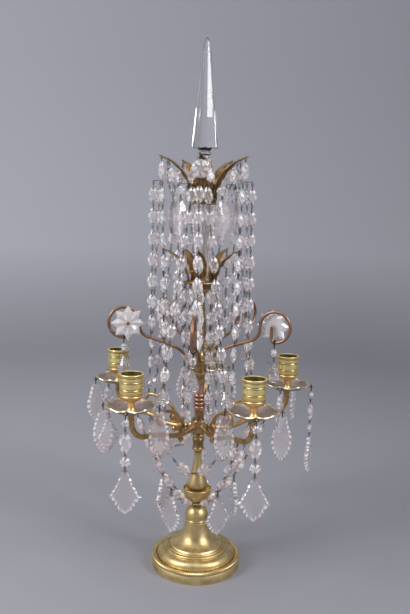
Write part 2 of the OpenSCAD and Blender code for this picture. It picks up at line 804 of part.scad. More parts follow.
module spire_socket() {
    mouth_r = peg_r + seat_gap;
    color("darkgoldenrod")
        turned(concat(
            [[bore_r, high_plate_top], [peg_r + 5, high_plate_top], [peg_r + 5, high_plate_top + 2]],
            cubic([peg_r + 2.4, high_plate_top + 4], [peg_r + 2, high_plate_top + 12],
                [peg_r + 3, socket_top - 7], [peg_r + 5.6, socket_top - 2]),
            [[peg_r + 5.6, socket_top], [mouth_r, socket_top], [mouth_r, socket_floor], [bore_r, socket_floor]]
        ));
}

module spire() {
    tip_h = 5.5;
    tip_r = 4;
    collar = peg_r + 0.4;
    color("aliceblue")
        translate([0, 0, socket_top]) {
            turned(concat(
                [[0, -peg_l], [peg_r, -peg_l], [peg_r, 0], [peg_r + 3.6, 0]],
                cubic([peg_r + 4, 1], [knob_r, 3], [knob_r, knob_h * 0.46], [knob_r - 2, knob_h * 0.56]),
                cubic([knob_r - 3, knob_h * 0.6], [collar, knob_h * 0.66], [collar, knob_h * 0.7],
                    [collar, knob_h + over]),
                [[0, knob_h + over]]
            ));
            translate([0, 0, knob_h])
                cylinder(h = spire_h - tip_h, r1 = spire_r, r2 = tip_r, $fn = spire_sides);
            translate([0, 0, knob_h + spire_h - tip_h])
                cylinder(h = tip_h, r1 = tip_r, r2 = 0.4, $fn = spire_sides);
        }
}

// Cut glass

// Share of a bead's width that its blunt ends keep
bead_tip = 0.3;

// Flat bead along +Z from the origin, eight-sided from the front and from the side
module bead(l, w, t) {
    tip = bead_tip;
    intersection() {
        rotate([90, 0, 90])
            linear_extrude(height = t, center = true)
                polygon([[-w * tip / 2, 0], [w * tip / 2, 0], [w / 2, l * tip], [w / 2, l * (1 - tip)],
                    [w * tip / 2, l], [-w * tip / 2, l], [-w / 2, l * (1 - tip)], [-w / 2, l * tip]]);
        rotate([90, 0, 0])
            linear_extrude(height = w + over, center = true)
                polygon([[-t * tip / 2, 0], [t * tip / 2, 0], [t / 2, l / 2 - w / 6], [t / 2, l / 2 + w / 6],
                    [t * tip / 2, l], [-t * tip / 2, l], [-t / 2, l / 2 + w / 6], [-t / 2, l / 2 - w / 6]]);
    }
}

// Turns +Z from a towards b, with +X as near to the outward direction as it can be
module along(a, b) {
    z = (b - a) / norm(b - a);
    out = [1, 0, 0] - z.x * z;
    x = out / norm(out);
    y = cross(z, x);
    multmatrix([[x.x, y.x, z.x, a.x], [x.y, y.y, z.y, a.y], [x.z, y.z, z.z, a.z], [0, 0, 0, 1]])
        children();
}

// Wire from a to b, held clear of what it meets at both ends by at least the wire gap
module wire(a, b, from_gap = wire_gap, to_gap = wire_gap) {
    along(a, b)
        translate([0, 0, from_gap])
            cylinder(h = norm(b - a) - from_gap - to_gap, r = wire_r, $fn = 16);
}

// Gap at the end of a bead that leans away from its wire
function lean_gap(bead, a, b, w) = let (
        d = (bead[1] - bead[0]) / norm(bead[1] - bead[0]),
        e = (b - a) / norm(b - a)
    ) wire_gap + w * bead_tip / 2 * norm(cross(d, e));

// A string hangs along a curve from a to c that is drawn towards b. Its beads are spaced evenly, with a wire
// before, between and after them
function hang(a, b, c, n = 24) =
    [for (i = [0:n]) let (t = i / n, u = 1 - t) u * u * a + 2 * u * t * b + t * t * c];
function run_lengths(pts) =
    [for (i = 0, s = 0; i < len(pts); i = i + 1, s = i < len(pts) ? s + norm(pts[i] - pts[i - 1]) : s) s];
function point_at(pts, runs, s) =
    [for (c = [0:2]) lookup(s, [for (i = [0:len(pts) - 1]) [runs[i], pts[i][c]]])];

// Ends of each bead on a string, as [upper, lower]
function bead_ends(pts, l, least) = let (
        runs = run_lengths(pts),
        whole = runs[len(runs) - 1],
        n = floor((whole - least) / (l + least)),
        gap = (whole - n * l) / (n + 1)
    ) [for (i = [0:n - 1]) let (s = gap + i * (l + gap)) [point_at(pts, runs, s), point_at(pts, runs, s + l)]];

module string_of_beads(pts, l, w, t, twist = 0) {
    for (e = bead_ends(pts, l, wire_l))
        along(e[0], e[1])
            rotate([0, 0, twist])
                bead(norm(e[1] - e[0]), w, t);
}

module string_of_wires(pts, l, w) {
    ends = bead_ends(pts, l, wire_l);
    last = len(ends) - 1;
    top = pts[0];
    foot = pts[len(pts) - 1];
    wire(top, ends[0][0], wire_gap, lean_gap(ends[0], top, ends[0][0], w));
    for (i = [1:1:last]) {
        a = ends[i - 1][1];
        b = ends[i][0];
        wire(a, b, lean_gap(ends[i - 1], a, b, w), lean_gap(ends[i], a, b, w));
    }
    wire(ends[last][1], foot, lean_gap(ends[last], ends[last][1], foot, w), wire_gap);
}

// Where the crown's tip drops hang, and the three strings under each of them
tip_angle = leaf_sweep - 4;
high_tip = leaf_point(high_leaf_base, high_plate_top - leaf_sink, high_leaf_r, tip_angle);
low_tip = leaf_point(low_leaf_base, low_plate_top - leaf_sink, low_leaf_r, tip_angle);
under_leaf = leaf_t / 2 / sin(tip_angle) + wire_gap;
hook_l = 5;
drop_top = high_tip.z - under_leaf - hook_l;
spread_z = drop_top - tip_drop_w - 2 * clear_gap - wire_r;
spread = bead_w / 2 + 1.5;
spread_out = 9;
spread_under = wire_r + wire_gap;

function straight(a, c) = hang(a, (a + c) / 2, c, 2);

// Strings round the column hang from the rim of the lower crown's plate, down to the scrolls and to the arms
rim_x = low_plate_r - 1.5;
rim_under = low_plate_top - 3 - wire_gap;
rim_scroll_heading = asin(sin(scroll_start[2]) - (rim_x - scroll_start[0]) / scroll_rise_r);
rim_scroll_z = scroll_start[1] + scroll_rise_r * (cos(rim_scroll_heading) - cos(scroll_start[2]))
    + scroll_rod_r / cos(rim_scroll_heading) + wire_r * tan(rim_scroll_heading) + wire_gap;
rim_arm_heading = asin(sin(arm_start[2]) + (rim_x - arm_start[0]) / arm_dip_r);
rim_arm_z = arm_start[1] + arm_dip_r * (cos(arm_start[2]) - cos(rim_arm_heading))
    + arm_rod_r / cos(rim_arm_heading) - wire_r * tan(rim_arm_heading) + wire_gap;
column_string = straight([rim_x, 0, rim_under], [rim_x, 0, rim_arm_z]);

// Strings of one leaf, in the frame of its scroll: one to the scroll below, one to the small scroll on each
// neighbouring arm, one from the lower crown's leaf to the scroll, and one from that crown's rim
seat_x = high_tip.x + spread_out + 1;
seat_over = scroll_rod_r / cos(scroll_flat[2]) + wire_gap;
near_rail = [curl_path[1][0] + 3, 0, curl_path[1][1] + 3 * tan(curl_path[1][2]) + curl_rod_r + wire_gap];
near_curl = [curl_mid[0] + curl_r * cos(55), 0, curl_mid[1] + curl_r * sin(55) + curl_rod_r + 2 * wire_gap];
leaf_strings = [
    straight([high_tip.x + spread_out, 0, spread_z - spread_under], [seat_x, 0, scroll_height(seat_x) + seat_over]),
    straight([high_tip.x, spread, spread_z - spread_under], turn(near_rail, STEP / 2)),
    straight([high_tip.x, -spread, spread_z - spread_under], turn(near_curl, -STEP / 2)),
    straight(low_tip - [0, 0, under_leaf], [low_tip.x, 0, scroll_height(low_tip.x) + seat_over]),
    straight([rim_x, 0, rim_under], [rim_x, 0, rim_scroll_z])
];

// Turn of the beads under each leaf about their own string, so that they face the front and the back. The two
// strings that run to the arms keep facing outwards
leaf_twists = [-36, 36, -72, 0, 72];
turned_strings = [1, 0, 0, 1, 0];

// Swag from one upper leaf to the next, in the frame of the arm between them
swag_angle = leaf_sweep - 13;
swag_tip = leaf_point(high_leaf_base, high_plate_top - leaf_sink, high_leaf_r, swag_angle);
swag_start = swag_tip - [0, 0, leaf_t / 2 / sin(swag_angle) + wire_gap];
crown_swag_drop = 84;
crown_swag = hang(turn(swag_start + [0, -4, 0], STEP / 2), [swag_tip.x, 0, swag_tip.z - crown_swag_drop],
    turn(swag_start + [0, 4, 0], -STEP / 2));
crown_swag_ends = bead_ends(crown_swag, bead_l, wire_l);
crown_swag_bead = crown_swag_ends[floor(len(crown_swag_ends) / 2)];
crown_swag_mid = (crown_swag_bead[0] + crown_swag_bead[1]) / 2;

module string_beads() {
    color("thistle")
        for (k = [1:COUNT]) {
            at_scroll(k)
                for (i = [0:len(leaf_strings) - 1])
                    string_of_beads(leaf_strings[i], bead_l, bead_w, bead_t, turned_strings[i] * leaf_twists[k - 1]);
            at_arm(k) {
                string_of_beads(crown_swag, bead_l, bead_w, bead_t);
                string_of_beads(column_string, bead_l, bead_w, bead_t);
            }
        }
}

module string_wires() {
    color("dimgray")
        for (k = [1:COUNT]) {
            at_scroll(k)
                for (pts = leaf_strings)
                    string_of_wires(pts, bead_l, bead_w);
            at_arm(k) {
                string_of_wires(crown_swag, bead_l, bead_w);
                string_of_wires(column_string, bead_l, bead_w);
            }
        }
}

almond_hook = 4;
almond_from = crown_swag_mid.z - bead_w / 2;
almond_top = almond_from - almond_hook;

module crown_drops() {
    color("thistle")
        for (k = [1:COUNT]) {
            at_scroll(k) {
                wire([high_tip.x, 0, high_tip.z - under_leaf + wire_gap], [high_tip.x, 0, drop_top]);
                translate([high_tip.x, 0, drop_top - tip_drop_w])
                    bead(tip_drop_w, tip_drop_w, bead_t + 1);
                translate([high_tip.x, 0, spread_z]) {
                    translate([0, -spread - wire_r, 0])
                        rotate([-90, 0, 0])
                            cylinder(h = 2 * (spread + wire_r), r = wire_r, $fn = 16);
                    rotate([0, 90, 0])
                        cylinder(h = spread_out + wire_r, r = wire_r, $fn = 16);
                }
            }
            at_arm(k) {
                wire([crown_swag_mid.x, 0, almond_from], [crown_swag_mid.x, 0, almond_top]);
                translate([crown_swag_mid.x, 0, almond_top - almond_l])
                    bead(almond_l, almond_w, bead_t);
            }
        }
}

// Lower swags: from under each arm to the neck below the bowl, and from arm to arm
swag_run = arm_run * 0.7;
swag_from = [arm_path[2][0] + swag_run, 0, arm_path[2][1] + swag_run * sin(arm_low[2]) - arm_rod_r - clear_gap];
swag_to = [neck_r + wire_gap + 0.6, 0, knop_top + neck_h * 0.5];
stem_swag = hang(swag_from, [(swag_from.x + swag_to.x) / 2, 0, swag_to.z + 8], swag_to);
tie_x = arm_path[2][0] - 6;
tie_bend = arm_crest_r;
tie_bend_mid = [arm_path[1][0] + tie_bend * sin(arm_path[1][2]),
    arm_path[1][1] - tie_bend * cos(arm_path[1][2])];
tie_lean = 25;
tie_reach = arm_rod_r + clear_gap;
tie_y = tie_reach * sin(tie_lean);
tie_z = tie_bend_mid.y + sqrt(tie_bend^2 - (tie_x - tie_bend_mid.x)^2) - tie_reach * cos(tie_lean);
arm_swag_drop = 90;
arm_swag = hang(turn([tie_x, tie_y, tie_z], -STEP / 2), [tie_x * cos(STEP / 2) - 8, 0, tie_z - arm_swag_drop],
    turn([tie_x, -tie_y, tie_z], STEP / 2));

module swag_beads() {
    color("thistle")
        for (k = [1:COUNT]) {
            at_arm(k)
                string_of_beads(stem_swag, swag_bead_l, swag_bead_w, bead_t + 1);
            at_scroll(k)
                string_of_beads(arm_swag, swag_bead_l, swag_bead_w, bead_t + 1);
        }
}

module swag_wires() {
    color("dimgray")
        for (k = [1:COUNT]) {
            at_arm(k)
                string_of_wires(stem_swag, swag_bead_l, swag_bead_w);
            at_scroll(k)
                string_of_wires(arm_swag, swag_bead_l, swag_bead_w);
        }
}

// Flat plaque in the YZ plane that hangs down from the origin, from the outline of its right half
module plaque(half) {
    other = [for (i = [len(half) - 1:-1:0]) [-half[i].x, half[i].y]];
    rotate([90, 0, 90])
        linear_extrude(height = plaque_t, center = true)
            polygon(concat(half, other));
}

// Kite: a narrow neck, hollow upper edges, a pointed shoulder and a smaller rounded end below it
module kite(l, w) {
    shoulder = 0.6;
    neck = 0.2;
    tip = 0.04;
    wave = 0.1;
    steps = 20;
    plaque([for (i = [0:steps]) let (t = i / steps, u = (t - shoulder) / (1 - shoulder))
        [w / 2 * (t <= shoulder ? neck + (1 - neck) * (t / shoulder)^1.3
            : 1 - (1 - tip) * u - wave * sin(360 * u)), -l * t]]);
}

// Leaf: broad at the top, fullest just below the middle
module leaf_plaque(l, w) {
    lower = cubic([w / 2, -l * 0.55], [w / 2, -l * 0.8], [w * 0.2, -l * 0.9], [w * 0.04, -l]);
    plaque(concat(
        cubic([w * 0.23, 0], [w * 0.25, -l * 0.25], [w / 2, -l * 0.3], lower[0]),
        [for (i = [1:len(lower) - 1]) lower[i]]
    ));
}

// Wire eye round a bar along X, with a tail that reaches down to the first stone
module hanging_eye(bar_r, tail) {
    eye_r = eye_out(bar_r) - wire_r;
    rotate([0, 90, 0])
        rotate_extrude()
            translate([eye_r, 0])
                circle(wire_r);
    translate([0, 0, -eye_r - tail])
        cylinder(h = tail, r = wire_r);
}

// Outer radius of that eye, and how far below the bar its first stone starts
function eye_out(bar_r) = bar_r + 2 * seat_gap + 2 * wire_r;
function eye_drop(bar_r, tail) = eye_out(bar_r) - wire_r + tail + wire_gap;

swag_hang_wire = 2;
swag_ends = bead_ends(stem_swag, swag_bead_l, wire_l);
swag_wire = swag_ends[swag_hang_wire + 1][0] - swag_ends[swag_hang_wire][1];
swag_hang = swag_ends[swag_hang_wire][1] + swag_wire / 2;
swag_under = wire_r * (norm(swag_wire) + abs(swag_wire.z)) / norm([swag_wire.x, swag_wire.y]);
swag_hook = 5;

module swag_plaques() {
    from = swag_hang.z - swag_under;
    top = from - swag_hook;
    color("thistle")
        for (k = [1:COUNT])
            at_arm(k) {
                wire([swag_hang.x, 0, from], [swag_hang.x, 0, top]);
                translate([swag_hang.x, 0, top])
                    kite(kite_l, kite_w);
            }
}

// Pieces that swing

chain_tail = 3;
chain_link = chain_tail + 2 * wire_gap;

// Chain at the pan's outer lug: a small bead, a large one, a small rosette and a kite plaque
module kite_chain(k) {
    small_top = -eye_drop(lug_r, chain_tail);
    bead_top = small_top - small_bead_l - chain_link;
    disc_top = bead_top - chain_bead_l - chain_link;
    kite_top = disc_top - 2 * chain_disc_r - chain_link;
    color("thistle")
        at_pan(k)
            translate([lug_hang, 0, lug_z]) {
                hanging_eye(lug_r, chain_tail);
                translate([0, 0, small_top - small_bead_l])
                    bead(small_bead_l, small_bead_w, bead_t);
                wire([0, 0, small_top - small_bead_l], [0, 0, bead_top]);
                translate([0, 0, bead_top - chain_bead_l])
                    bead(chain_bead_l, swag_bead_w, bead_t);
                wire([0, 0, bead_top - chain_bead_l], [0, 0, disc_top]);
                translate([-plaque_t / 2, 0, disc_top - chain_disc_r])
                    rotate([0, 90, 0])
                        cylinder(h = plaque_t, r = chain_disc_r);
                wire([0, 0, disc_top - 2 * chain_disc_r], [0, 0, kite_top]);
                translate([0, 0, kite_top])
                    kite(kite_l, kite_w);
            }
}

// Leaf plaques at the two side lugs of a pan, which share one line
module side_plaques(k) {
    color("thistle")
        at_pan(k)
            for (side = [-1, 1])
                translate([0, side * lug_hang, lug_z]) {
                    rotate([0, 0, 90])
                        hanging_eye(lug_r, chain_tail);
                    translate([0, 0, -eye_drop(lug_r, chain_tail)])
                        leaf_plaque(leaf_plaque_l, leaf_plaque_w);
                }
}

// Small bead and pear drop on the lowest point of a scroll's hook
module scroll_drop(k) {
    bead_top = -eye_drop(drop_bar_r, chain_tail);
    pear_top = bead_top - small_bead_l - chain_link;
    color("thistle")
        at_scroll(k)
            translate(hook_low) {
                hanging_eye(drop_bar_r, chain_tail);
                translate([0, 0, bead_top - small_bead_l])
                    bead(small_bead_l, small_bead_w, bead_t);
                wire([0, 0, bead_top - small_bead_l], [0, 0, pear_top]);
                translate([0, 0, pear_top])
                    turned(concat(
                        [[0, 0], [1.2, 0]],
                        cubic([1.4, -2], [pear_r * 0.4, -pear_l * 0.4], [pear_r, -pear_l * 0.5],
                            [pear_r, -pear_l * 0.72]),
                        cubic([pear_r - 0.1, -pear_l * 0.76], [pear_r * 0.8, -pear_l * 0.9],
                            [pear_r * 0.4, -pear_l], [0, -pear_l])
                    ));
            }
}

foot_skirt();
foot_bell();
foot_washer();
foot_nut();
tie_rod();
knop();
bowl();
baluster();
arm_hub();
stem_sleeve();
scroll_hub();
upper_column();
lower_crown();
glass_vase();
upper_crown();
spire_socket();
spire();
set_screws();
rosettes();
crown_drops();
string_beads();
string_wires();
swag_beads();
swag_wires();
swag_plaques();
for (k = [1:COUNT]) {
    candle_arm(k);
    drip_pan(k);
    candle_cup(k);
    upper_scroll(k);
    kite_chain(k);
    side_plaques(k);
    scroll_drop(k);
}
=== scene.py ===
import bmesh
import bpy
import numpy as np
from math import asin, atan2, cos, exp, hypot, pi, radians, sin
from mathutils import Matrix, Vector


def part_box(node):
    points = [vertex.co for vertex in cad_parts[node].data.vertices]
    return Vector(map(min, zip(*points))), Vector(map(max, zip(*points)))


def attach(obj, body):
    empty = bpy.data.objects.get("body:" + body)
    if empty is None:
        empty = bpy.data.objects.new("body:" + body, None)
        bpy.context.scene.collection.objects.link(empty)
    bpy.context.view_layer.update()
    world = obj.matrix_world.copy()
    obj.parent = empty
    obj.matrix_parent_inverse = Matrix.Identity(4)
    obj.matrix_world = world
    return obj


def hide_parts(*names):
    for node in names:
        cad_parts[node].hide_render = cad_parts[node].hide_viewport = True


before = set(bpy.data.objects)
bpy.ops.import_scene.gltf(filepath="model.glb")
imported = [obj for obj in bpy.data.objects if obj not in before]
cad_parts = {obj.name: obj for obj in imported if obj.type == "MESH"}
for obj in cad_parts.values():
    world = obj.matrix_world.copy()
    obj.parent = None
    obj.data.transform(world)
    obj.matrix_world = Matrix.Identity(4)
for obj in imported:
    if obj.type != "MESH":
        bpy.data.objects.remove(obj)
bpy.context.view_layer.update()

# Camera
# It stands before the girandole at table height, looks a little down on it and leans a degree to its right.
CAMERA_AT = (0.0644, -0.7786, 0.4345)
CAMERA_TURN = radians(4.4)
CAMERA_PITCH = radians(7.77)
CAMERA_ROLL = radians(1.36)
CAMERA_LENS = 38.3

camera = bpy.data.objects.new("camera", bpy.data.cameras.new("camera"))
bpy.context.collection.objects.link(camera)
camera.data.lens = CAMERA_LENS
camera_turns = Matrix.Rotation(CAMERA_TURN, 4, "Z") @ Matrix.Rotation(pi / 2 - CAMERA_PITCH, 4, "X")
camera.matrix_world = Matrix.Translation(CAMERA_AT) @ camera_turns @ Matrix.Rotation(CAMERA_ROLL, 4, "Z")
bpy.context.scene.camera = camera
bpy.context.scene.view_settings.view_transform = "Standard"

# Studio
# A seamless sheet of pale grey paper lies under the girandole and curves up into a wall all round it. Its
# grey
# carries painted light: it is painted a little lighter on the left, and the wall is painted lighter than the
# floor, in place of the lamps' uneven light.
# Two soft boxes stand in front, left and right, and a third hangs overhead.
# Painted light and shade in the paper's grey: pale where the paper is painted as lit, deep where painted as
# shaded.
FLOOR_PAINTED_LIGHT = (0.30, 0.30, 0.33, 1)
FLOOR_PAINTED_SHADE = (0.235, 0.235, 0.26, 1)
WALL_PAINTED_LIGHT = (0.52, 0.52, 0.57, 1)
WALL_PAINTED_SHADE = (0.33, 0.33, 0.365, 1)
PAPER_FLAT = 1.3
PAPER_BEND = 1.1
PAPER_TOP = 1.9
# Widths over which the painted light and shade blend across the paper and up onto the wall.
WALL_SHADE_FADE = 1.1
FLOOR_SHADE_FADE = 0.4
RISE_LIGHT_FADE = 0.3
ROOM_GREY = (0.40, 0.40, 0.425, 1)
SOFT_BOXES = {
    "left_box": ((-1.35, -0.95, 1.4), (0.6, 1.3), (0, 0, 0.4), 31),
    "right_box": ((1.4, -0.85, 1.35), (0.5, 1.3), (0, 0, 0.4), 25),
    "top_box": ((-0.1, -0.1, 2.3), (1.8, 1.8), (0, 0, 0.3), 8),
}


def add_node(tree, kind, inputs=(), **settings):
    """Adds a shader node; an input is given a value, or another node's output to be joined to."""
    made = tree.nodes.new("ShaderNode" + kind)
    for name, value in settings.items():
        setattr(made, name, value)
    for name, value in dict(inputs).items():
        if isinstance(value, bpy.types.NodeSocket):
            tree.links.new(value, made.inputs[name])
        else:
            made.inputs[name].default_value = value
    return made


def new_finish(name):
    """A new material, with its node tree, its shader and the place on the piece that patterns follow."""
    finish = bpy.data.materials.new(name)
    finish.use_nodes = True
    tree = finish.node_tree
    return finish, tree, tree.nodes["Principled BSDF"], add_node(tree, "TexCoord").outputs["Object"]


def scaled(tree, amount, low, high, to_low, to_high):
    """An amount moved from one range to another."""
    limits = {"Value": amount, "From Min": low, "From Max": high, "To Min": to_low, "To Max": to_high}
    return add_node(tree, "MapRange", limits).outputs["Result"]


def mixed(tree, amount, first, second):
    """Two colours mixed by an amount."""
    made = add_node(tree, "Mix", {0: amount, 6: first, 7: second}, data_type="RGBA")
    return made.outputs[2]


def arc(centre, radius, start, end, steps=8):
    """Points of a round stretch of outline, with its angles in degrees."""
    angles = [radians(start + (end - start) * i / steps) for i in range(steps + 1)]
    return [(centre[0] + radius * cos(a), centre[1] + radius * sin(a)) for a in angles]


def spun(outline, sides, closed=True):
    """Spins an outline of (radius, height) about the upright axis, as a lathe does."""
    bm = bmesh.new()
    points = [bm.verts.new((r, 0, z)) for r, z in outline]
    lines = [bm.edges.new(pair) for pair in zip(points, points[1:])]
    if closed:
        lines.append(bm.edges.new((points[-1], points[0])))
    bmesh.ops.spin(bm, geom=points + lines, axis=(0, 0, 1), angle=2 * pi, steps=sides, use_merge=True)
    bmesh.ops.remove_doubles(bm, verts=bm.verts, dist=1e-6)
    bmesh.ops.recalc_face_normals(bm, faces=bm.faces)
    return bm


def made_object(name, bm, finish, sharp=35):
    """Turns a finished bmesh into a smooth object with its creases kept sharp. Each point carries how hollow
    the surface is there, for the grime and painted shade in grooves and the wear on edges."""
    bm.normal_update()
    hollow = bm.verts.layers.float.new("hollow")
    for vert in bm.verts:
        ways = [(edge.other_vert(vert).co - vert.co).normalized() for edge in vert.link_edges]
        vert[hollow] = sum(way.dot(vert.normal) for way in ways) / max(1, len(ways))
    mesh = bpy.data.meshes.new(name)
    bm.to_mesh(mesh)
    bm.free()
    mesh.shade_smooth()
    mesh.set_sharp_from_angle(angle=radians(sharp))
    mesh.materials.append(finish)
    made = bpy.data.objects.new(name, mesh)
    bpy.context.collection.objects.link(made)
    return made


paper_finish, paper_tree, paper_shader, paper_place = new_finish("grey_paper")
paper_shader.inputs["Roughness"].default_value = 0.9
paper_shader.inputs["Specular IOR Level"].default_value = 0.2
paper_outline = [(0, 0)] + arc((PAPER_FLAT, PAPER_BEND), PAPER_BEND, -90, 0, 16)
paper_bm = spun(paper_outline + [(PAPER_FLAT + PAPER_BEND, PAPER_TOP)], 64, closed=False)
bmesh.ops.reverse_faces(paper_bm, faces=[f for f in paper_bm.faces if f.normal.z < -0.01])
made_object("paper", paper_bm, paper_finish)

paper_axes = add_node(paper_tree, "SeparateXYZ", {0: paper_place}).outputs
# Painted light: the grey runs lighter to the left, and lighter from the floor up onto the wall.
wall_shade_share = scaled(paper_tree, paper_axes["X"], -WALL_SHADE_FADE, WALL_SHADE_FADE, 0, 1)
floor_shade_share = scaled(paper_tree, paper_axes["X"], -FLOOR_SHADE_FADE, FLOOR_SHADE_FADE, 0, 1)
wall_painted_grey = mixed(paper_tree, wall_shade_share, WALL_PAINTED_LIGHT, WALL_PAINTED_SHADE)
floor_painted_grey = mixed(paper_tree, floor_shade_share, FLOOR_PAINTED_LIGHT, FLOOR_PAINTED_SHADE)
paper_painted_grey = mixed(paper_tree, scaled(paper_tree, paper_axes["Z"], 0, RISE_LIGHT_FADE, 0, 1), floor_painted_grey, wall_painted_grey)
paper_tree.links.new(paper_painted_grey, paper_shader.inputs["Base Color"])

room = bpy.data.worlds.new("room")
room.use_nodes = True
room.node_tree.nodes["Background"].inputs["Color"].default_value = ROOM_GREY
bpy.context.scene.world = room
for box_name, (at, (wide, high), aim, power) in SOFT_BOXES.items():
    lamp = bpy.data.lights.new(box_name, "AREA")
    lamp.shape = "RECTANGLE"
    lamp.size = wide
    lamp.size_y = high
    lamp.energy = power
    stand = bpy.data.objects.new(box_name, lamp)
    bpy.context.collection.objects.link(stand)
    stand.location = at
    stand.rotation_mode = "QUATERNION"
    stand.rotation_quaternion = (Vector(aim) - Vector(at)).to_track_quat("-Z", "Y")
    stand.visible_camera = False

# Foot
# A turned brass skirt with a milled bead round its rim, and a hollow brass bell that drops into the skirt's
# recess. Both are cast, turned and left satin, and the metal has dulled to olive, with grime and painted
# shade dark in the grooves.
MM = 0.001
BRASS_PALE = (0.80, 0.63, 0.315, 1)
BRASS_DEEP = (0.52, 0.39, 0.165, 1)
# Colour of the grime and painted shade in the hollows:
BRASS_GRIME_AND_SHADE = (0.13, 0.085, 0.03, 1)
WORN_EDGE = (-0.2, -0.07)
# Range of hollowness over which grime and painted shade darken the grooves.
GRIME_AND_SHADE_HOLLOW = (0.03, 0.16)
TURNED_SIDES = 96
EDGE = 0.25
ROD_HOLE = 3.1
MILLED_TEETH = 150
MILLED_DEPTH = 0.35


def sweep(start, lead, follow, end, steps=14):
    """Points of a smooth stretch of outline between two points, drawn towards two others."""
    curve = []
    for i in range(steps + 1):
        t = i / steps
        pulls = ((1 - t) ** 3, 3 * t * (1 - t) ** 2, 3 * t * t * (1 - t), t ** 3)
        pulled = list(zip(pulls, (start, lead, follow, end)))
        curve.append(tuple(sum(pull * point[c] for pull, point in pulled) for c in (0, 1)))
    return curve


def tone(tree, amount, stops):
    """A colour that follows an amount through a few stops."""
    made = add_node(tree, "ValToRGB", {"Fac": amount})
    ramp = made.color_ramp
    for element, (place, colour) in zip(ramp.elements, (stops[0], stops[-1])):
        element.position = place
        element.color = colour
    for place, colour in stops[1:-1]:
        ramp.elements.new(place).color = colour
    return made.outputs["Color"]


def cloudy(tree, place, scale, detail, broken=0.5):
    """An amount that comes and goes over a piece in soft clouds."""
    cloud = {"Vector": place, "Scale": scale, "Detail": detail, "Roughness": broken}
    return add_node(tree, "TexNoise", cloud).outputs["Fac"]


def bumped(tree, shader, height, strength, depth):
    """Makes a surface slightly uneven, by an amount."""
    bump = add_node(tree, "Bump", {"Height": height, "Strength": strength, "Distance": depth})
    tree.links.new(bump.outputs["Normal"], shader.inputs["Normal"])


def aged_metal(name, pale, deep, grime_and_shade, rough, patches=70, lathe=None):
    """Old metal: two tones in soft patches, grime and painted shade in the hollows, bare along the edges.
    lathe gives the axis of a turned piece, whose fine rings then follow it."""
    finish, tree, shader, place = new_finish(name)
    metal = tone(tree, cloudy(tree, place, patches, 7, 0.62), [(0.34, deep), (0.62, pale)])
    hollow = add_node(tree, "Attribute", attribute_name="hollow").outputs["Fac"]
    bare = tuple(min(1, 1.25 * c) for c in pale[:3]) + (1,)
    worn = mixed(tree, scaled(tree, hollow, *WORN_EDGE, 0.8, 0), metal, bare)
    # Grime and painted shade: where the surface is hollow its colour runs dark, for dirt and for the shade in
    # grooves.
    dirty_and_shaded = mixed(tree, scaled(tree, hollow, *GRIME_AND_SHADE_HOLLOW, 0, 0.85), worn, grime_and_shade)
    tree.links.new(dirty_and_shaded, shader.inputs["Base Color"])
    speck = cloudy(tree, place, 420, 4)
    tree.links.new(scaled(tree, speck, 0.3, 0.7, rough - 0.09, rough + 0.1), shader.inputs["Roughness"])
    shader.inputs["Metallic"].default_value = 1
    height = speck
    if lathe:
        from_axis = add_node(tree, "VectorMath", {0: place, 1: (*lathe, 0)}, operation="SUBTRACT")
        level = {0: from_axis.outputs[0], 1: (1, 1, 0)}
        level = add_node(tree, "VectorMath", level, operation="MULTIPLY").outputs[0]
        radius = add_node(tree, "VectorMath", {0: level}, operation="LENGTH").outputs["Value"]
        rise = add_node(tree, "SeparateXYZ", {0: place}).outputs["Z"]
        rings = add_node(tree, "CombineXYZ", {0: radius, 2: rise}).outputs[0]
        height = cloudy(tree, rings, 1400, 2)
    bumped(tree, shader, height, 0.12, 0.0002)
    return finish


def fitted(made, body, slot, *nodes):
    """Fixes a finished piece to the body that carries it, in place of its plain solids."""
    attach(made, body)
    if nodes:
        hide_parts(*nodes)


def foot_of(node):
    """Height in metres of the foot of a node."""
    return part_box(node)[0].z


def height_of(node):
    """How tall a node is, in millimetres."""
    low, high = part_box(node)
    return (high.z - low.z) / MM


def softened(bm, width=EDGE, angle=38):
    """Breaks the sharp edges of a turned or cast piece."""
    limit = radians(angle)
    edges = [e for e in bm.edges if e.is_manifold and e.calc_face_angle() > limit]
    bmesh.ops.bevel(bm, geom=edges, offset=width * MM, offset_type="OFFSET", segments=2, profile=0.5,
                    affect="EDGES", material=-1, clamp_overlap=True)
    return bm


def turned(outline, base=0.0, sides=TURNED_SIDES):
    """A turned solid from an outline in millimetres that stands on a height in metres."""
    return spun([(r * MM, base + z * MM) for r, z in outline], sides)


def stem_piece(node, outline, finish, slot, edge=0.0, made="turned"):
    """Turns a piece of the stem, breaks its edges and fixes it in place of its plain solid."""
    bm = turned(outline, foot_of(node))
    if edge:
        softened(bm, edge)
    fitted(made_object(f"{node}_{made}", bm, finish), "stand", slot, node)


satin_brass = aged_metal("satin_brass", BRASS_PALE, BRASS_DEEP, BRASS_GRIME_AND_SHADE, 0.4, lathe=(0, 0))
skirt_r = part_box("foot_skirt")[1].x / MM
skirt_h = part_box("foot_skirt")[1].z / MM
rim_r = skirt_r - 1.7
bead_r = 2.4
seat_r = rim_r - 2.6
ledge_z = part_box("foot_bell")[0].z / MM
skirt_outline = [(seat_r - 1, 0), (skirt_r - 0.5, 0), (skirt_r, 0.6), (skirt_r, 2)]
skirt_outline += [(rim_r + 1.2, skirt_h - 5), (rim_r + 0.9, skirt_h - 4.6)]
skirt_outline += arc((rim_r, skirt_h - bead_r), bead_r, -48, 96, 12)
skirt_outline += [(seat_r, skirt_h - 1), (seat_r, ledge_z), (seat_r - 6, ledge_z), (seat_r - 6, ledge_z - 3)]
skirt_bm = turned(skirt_outline, sides=2 * MILLED_TEETH)
milled_low = (skirt_h - 1.7 * bead_r) * MM
milled_in = (rim_r - 0.6 * bead_r) * MM
